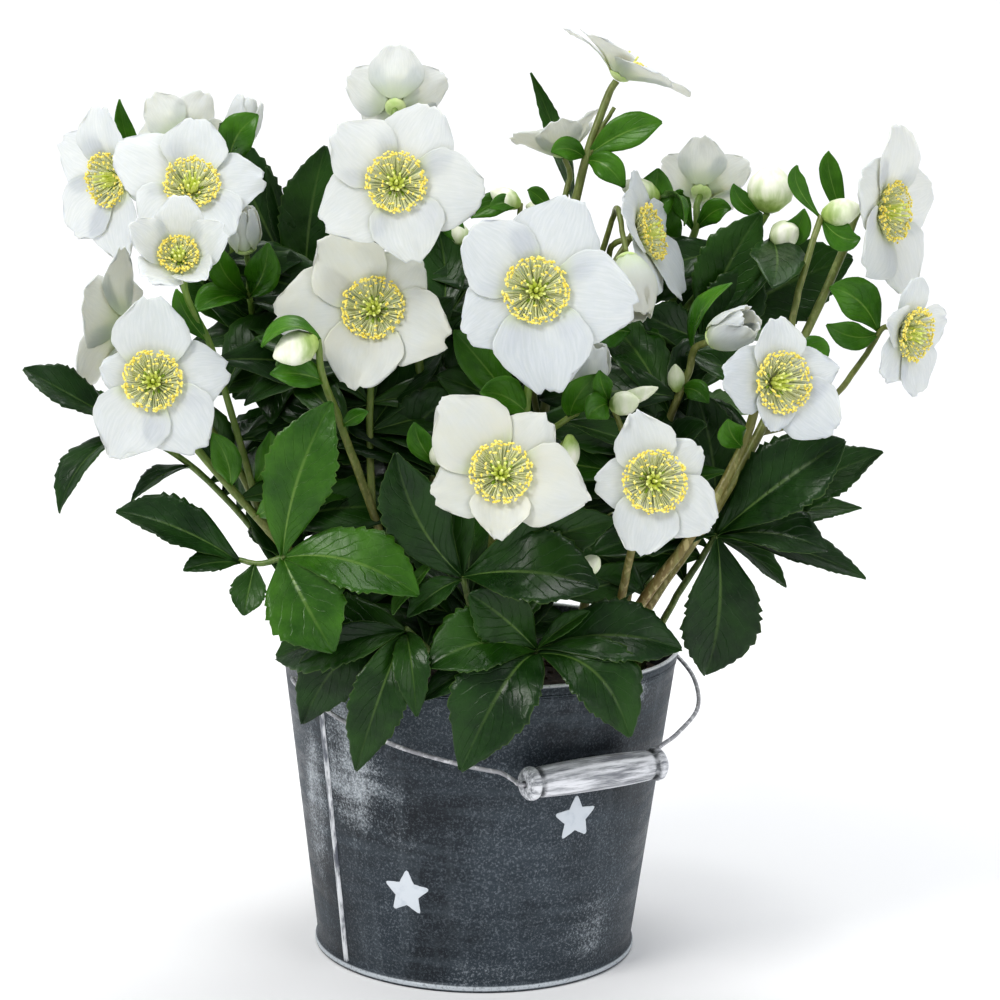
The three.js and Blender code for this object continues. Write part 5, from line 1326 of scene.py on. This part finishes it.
def zinc_look():
    """Zinc sheet under a dark blue-grey wash, brushed on by hand and rubbed through here and there, with
    a painted highlight along the top of the rolled rim.
    """
    look = Look("washed_zinc", 0.5)
    cloud = look.noise(14, 5, roughness=0.62, distortion=0.4)
    brush = look.noise(150, 4, stretch=(0.13, 0.13, 1), roughness=0.65)
    run = look.noise(110, 4, stretch=(1, 1, 0.08), roughness=0.6)
    grain = look.noise(900, 4, roughness=0.8)
    wash = look.fade(cloud, 0.3, 0.7, (0.005, 0.008, 0.012), (0.031, 0.044, 0.057))
    wash = look.mix(look.band(brush, 0.42, 0.72, 0.0, 0.55), wash, (0.075, 0.094, 0.11))
    wash = look.mix(look.band(run, 0.5, 0.75, 0.0, 0.35), wash, (0.1, 0.12, 0.135))
    speckle = look.times(look.band(grain, 0.48, 0.66, 0.0, 0.75), look.band(cloud, 0.36, 0.62, 0.4, 1.0))
    wash = look.mix(speckle, wash, (0.19, 0.215, 0.24))
    wash = look.mix(look.band(cloud, 0.42, 0.3, 0.0, 0.6), wash, (0.008, 0.011, 0.016))
    worn = 0.0
    for azimuth, level, size, share in WORN_PATCHES:
        spot = worn_patch(look, tuple(on_wall(azimuth, level) * MM), size)
        worn = look.most(look.times(spot, share), worn)
    rub = look.times(look.minus(look.plus(run, brush), 1.0), 0.55)
    rub = look.math("MULTIPLY_ADD", look.minus(grain, 0.5), 1.5, rub)
    rub = look.plus(rub, look.times(look.minus(cloud, 0.5), 1.2))
    bare = look.band(look.plus(rub, worn), 0.3, 1.15)
    height = look.node("SeparateXYZ", Vector=look.where()).outputs[2]
    # A painted highlight: a pale line along the top of the rolled rim, broken up by the grain.
    rim_highlight = look.times(look.band(height, 0.1428, 0.1441), look.band(grain, 0.3, 0.45))
    rolled = look.times(look.band(height, 0.0034, 0.0026), look.band(height, 0.0008, 0.0015))
    foot = look.times(rolled, look.band(grain, 0.3, 0.5, 0.3, 1.0))
    color = look.mix(look.most(bare, foot), wash, (0.54, 0.58, 0.61))
    color = look.mix(rim_highlight, color, (0.76, 0.78, 0.8))
    relief = look.plus(look.times(brush, 0.6), look.times(bare, -0.4))
    relief = look.plus(relief, look.times(grain, 0.5))
    rough = look.band(brush, 0.3, 0.7, 0.36, 0.6)
    return look.finish(color, rough, relief, 0.0005, 0.5, look.band(bare, 0, 1, 0.35, 0.1))


def bare_zinc_look():
    look = Look("rubbed_zinc", 0.45)
    rub = look.noise(140, 5, stretch=(1, 1, 0.25), roughness=0.65)
    color = look.fade(rub, 0.4, 0.56, (0.12, 0.13, 0.155), (0.72, 0.74, 0.76))
    rough = look.band(rub, 0.3, 0.7, 0.35, 0.6)
    return look.finish(color, rough, rub, 0.0004, 0.5, look.band(rub, 0.3, 0.7, 0.6, 0.2))


def wood_look():
    """Turned wood under a thin whitewash, grey where the grain shows, with painted shade in the grooves
    by its collars.
    """
    look = Look("whitewashed_wood", 0.7)
    turned = look.node("VectorRotate", {"rotation_type": "Z_AXIS"}, Vector=look.where(), Angle=-bail_turn)
    turned = turned.outputs[0]
    grain = look.noise(420, 5, turned, (0.07, 1, 1), roughness=0.7)
    worn = look.noise(110, 4, turned, (0.35, 1, 1))
    color = look.fade(grain, 0.35, 0.62, (0.22, 0.23, 0.25), (0.82, 0.83, 0.86))
    color = look.mix(look.band(worn, 0.56, 0.7, 0.0, 0.75), color, (0.2, 0.2, 0.21))
    along, _, _ = look.read("place")
    # Painted shade in the two grooves by the collars, deepest where the worn noise is high.
    groove_shade = 0.0
    for place in (0.536, 0.928):
        groove_shade = look.most(look.band(look.distance(along, place), 0.02, 0.004), groove_shade)
    color = look.mix(look.times(groove_shade, look.band(worn, 0.4, 0.6, 0.35, 1.0)), color, (0.05, 0.055, 0.06))
    return look.finish(color, look.band(grain, 0.3, 0.7, 0.85, 0.6), grain, 0.0005, 0.6)


def wire_look():
    look = Look("painted_wire", 0.5, Metallic=0.3)
    chip = look.noise(380, 4)
    color = look.fade(chip, 0.48, 0.62, (0.36, 0.36, 0.38), (0.66, 0.66, 0.68))
    return look.finish(color, height=chip, distance=0.0002)


def all_looks():
    return {
        "petal": petal_look(),
        "sepal_base": sepal_base_look(),
        "filament": simple_look("filament", (0.8, 0.84, 0.4), (0.97, 0.97, 0.78), 500, 0.5),
        "anther": simple_look("anther", (0.9, 0.7, 0.06), (1.0, 0.93, 0.34), 900, 0.6),
        "nectary": simple_look("nectary", (0.2, 0.34, 0.03), (0.42, 0.56, 0.08), 400, 0.35),
        "pistil": simple_look("pistil", (0.62, 0.72, 0.1), (0.9, 0.92, 0.4), 500, 0.4),
        "leaf": leaf_look(),
        "stem": stem_look("stem", (0.15, 0.1, 0.035), (0.12, 0.21, 0.03), (0.3, 0.28, 0.1)),
        "brown_stem": stem_look("brown_stem", (0.2, 0.115, 0.04), (0.13, 0.16, 0.035), (0.5, 0.44, 0.22)),
        "stalk": stem_look("stalk", (0.09, 0.13, 0.03), (0.07, 0.15, 0.02), (0.2, 0.24, 0.08)),
        "bud": bud_look(),
        "zinc": zinc_look(),
        "bare_zinc": bare_zinc_look(),
        "ear": simple_look("ear", (0.05, 0.06, 0.08), (0.3, 0.31, 0.33), 200, 0.5, Metallic=0.5),
        "star": simple_look("star_paint", (0.56, 0.61, 0.66), (0.68, 0.72, 0.76), 260, 0.7, 0.25, 0.5),
        "wire": wire_look(),
        "wood": wood_look(),
        "soil": simple_look("soil", (0.014, 0.009, 0.006), (0.06, 0.04, 0.026), 300, 0.95, relief=0.0012),
        "chip": simple_look("bark_chip", (0.09, 0.055, 0.03), (0.22, 0.15, 0.09), 200, 0.9),
    }


# ---------- floor, light and camera ----------
FLOOR_HALF = 6.0


def build_stage():
    """A pale floor that curves up into a wall behind the plant, in metres."""
    curve = [(-FLOOR_HALF, 0.0), (1.4, 0.0)]
    curve += [(1.4 + math.sin(a), 1 - math.cos(a)) for a in np.linspace(0.1, math.pi / 2, 14)]
    curve += [(2.4, 4.0)]
    points = [(x, y, z) for y, z in curve for x in (-FLOOR_HALF, FLOOR_HALF)]
    faces = [(2 * k, 2 * k + 1, 2 * k + 3, 2 * k + 2) for k in range(len(curve) - 1)]
    mesh = bpy.data.meshes.new("floor")
    mesh.from_pydata(points, [], faces)
    for face in mesh.polygons:
        face.use_smooth = True
    mesh.materials.append(Look("floor", 0.9).finish((0.93, 0.93, 0.93)))
    floor = bpy.data.objects.new("floor", mesh)
    bpy.context.scene.collection.objects.link(floor)


def add_light(name, place, target, size, power, color=(1, 1, 1)):
    data = bpy.data.lights.new(name, "AREA")
    data.shape = "DISK"
    data.size = size
    data.energy = power
    data.color = color
    lamp = bpy.data.objects.new(name, data)
    bpy.context.scene.collection.objects.link(lamp)
    lamp.location = place
    lamp.rotation_euler = (Vector(target) - Vector(place)).to_track_quat("-Z", "Y").to_euler()


def build_lights():
    bpy.context.scene.view_settings.view_transform = "Standard"
    bpy.context.scene.view_settings.look = "Medium High Contrast"
    world = bpy.data.worlds.new("studio")
    bpy.context.scene.world = world
    world.use_nodes = True
    back = world.node_tree.nodes["Background"]
    back.inputs[0].default_value = (0.93, 0.95, 1.0, 1)
    back.inputs[1].default_value = 0.56
    add_light("key", (-1.6, -1.7, 2.3), (0, 0, 0.22), 1.1, 42, (1, 0.985, 0.96))
    add_light("fill", (1.9, -1.8, 1.2), (0, 0, 0.22), 1.8, 11)
    add_light("top", (0.2, 0.5, 2.4), (0, 0, 0.25), 1.2, 19)


CAMERA_PLACE = (0, -1.175, 0.414)
CAMERA_YAW, CAMERA_PITCH, CAMERA_ROLL = 0.38 * DEG, 9.86 * DEG, 1.24 * DEG
LENS, SENSOR_WIDTH = 93.6, 36


def build_camera():
    """A camera turned about the vertical, tipped down, and then rolled."""
    yaw, pitch, roll = CAMERA_YAW, CAMERA_PITCH, CAMERA_ROLL
    ahead = Vector((math.sin(yaw) * math.cos(pitch), math.cos(yaw) * math.cos(pitch), -math.sin(pitch)))
    level = Vector((math.cos(yaw), -math.sin(yaw), 0))
    above = level.cross(ahead)
    right = level * math.cos(roll) + above * math.sin(roll)
    above = above * math.cos(roll) - level * math.sin(roll)
    turn = Matrix((right, above, -ahead)).transposed().to_4x4()
    data = bpy.data.cameras.new("camera")
    data.sensor_width = SENSOR_WIDTH
    data.lens = LENS
    data.clip_start = 0.05
    camera = bpy.data.objects.new("camera", data)
    bpy.context.scene.collection.objects.link(camera)
    camera.matrix_world = Matrix.Translation(CAMERA_PLACE) @ turn
    bpy.context.scene.camera = camera


# ---------- everything ----------
build_camera()
build_stage()
build_lights()
looks = all_looks()
build_bucket(looks)
build_stars(looks)
build_bail(looks)
build_ears(looks)
build_soil(looks)
build_plant(looks)
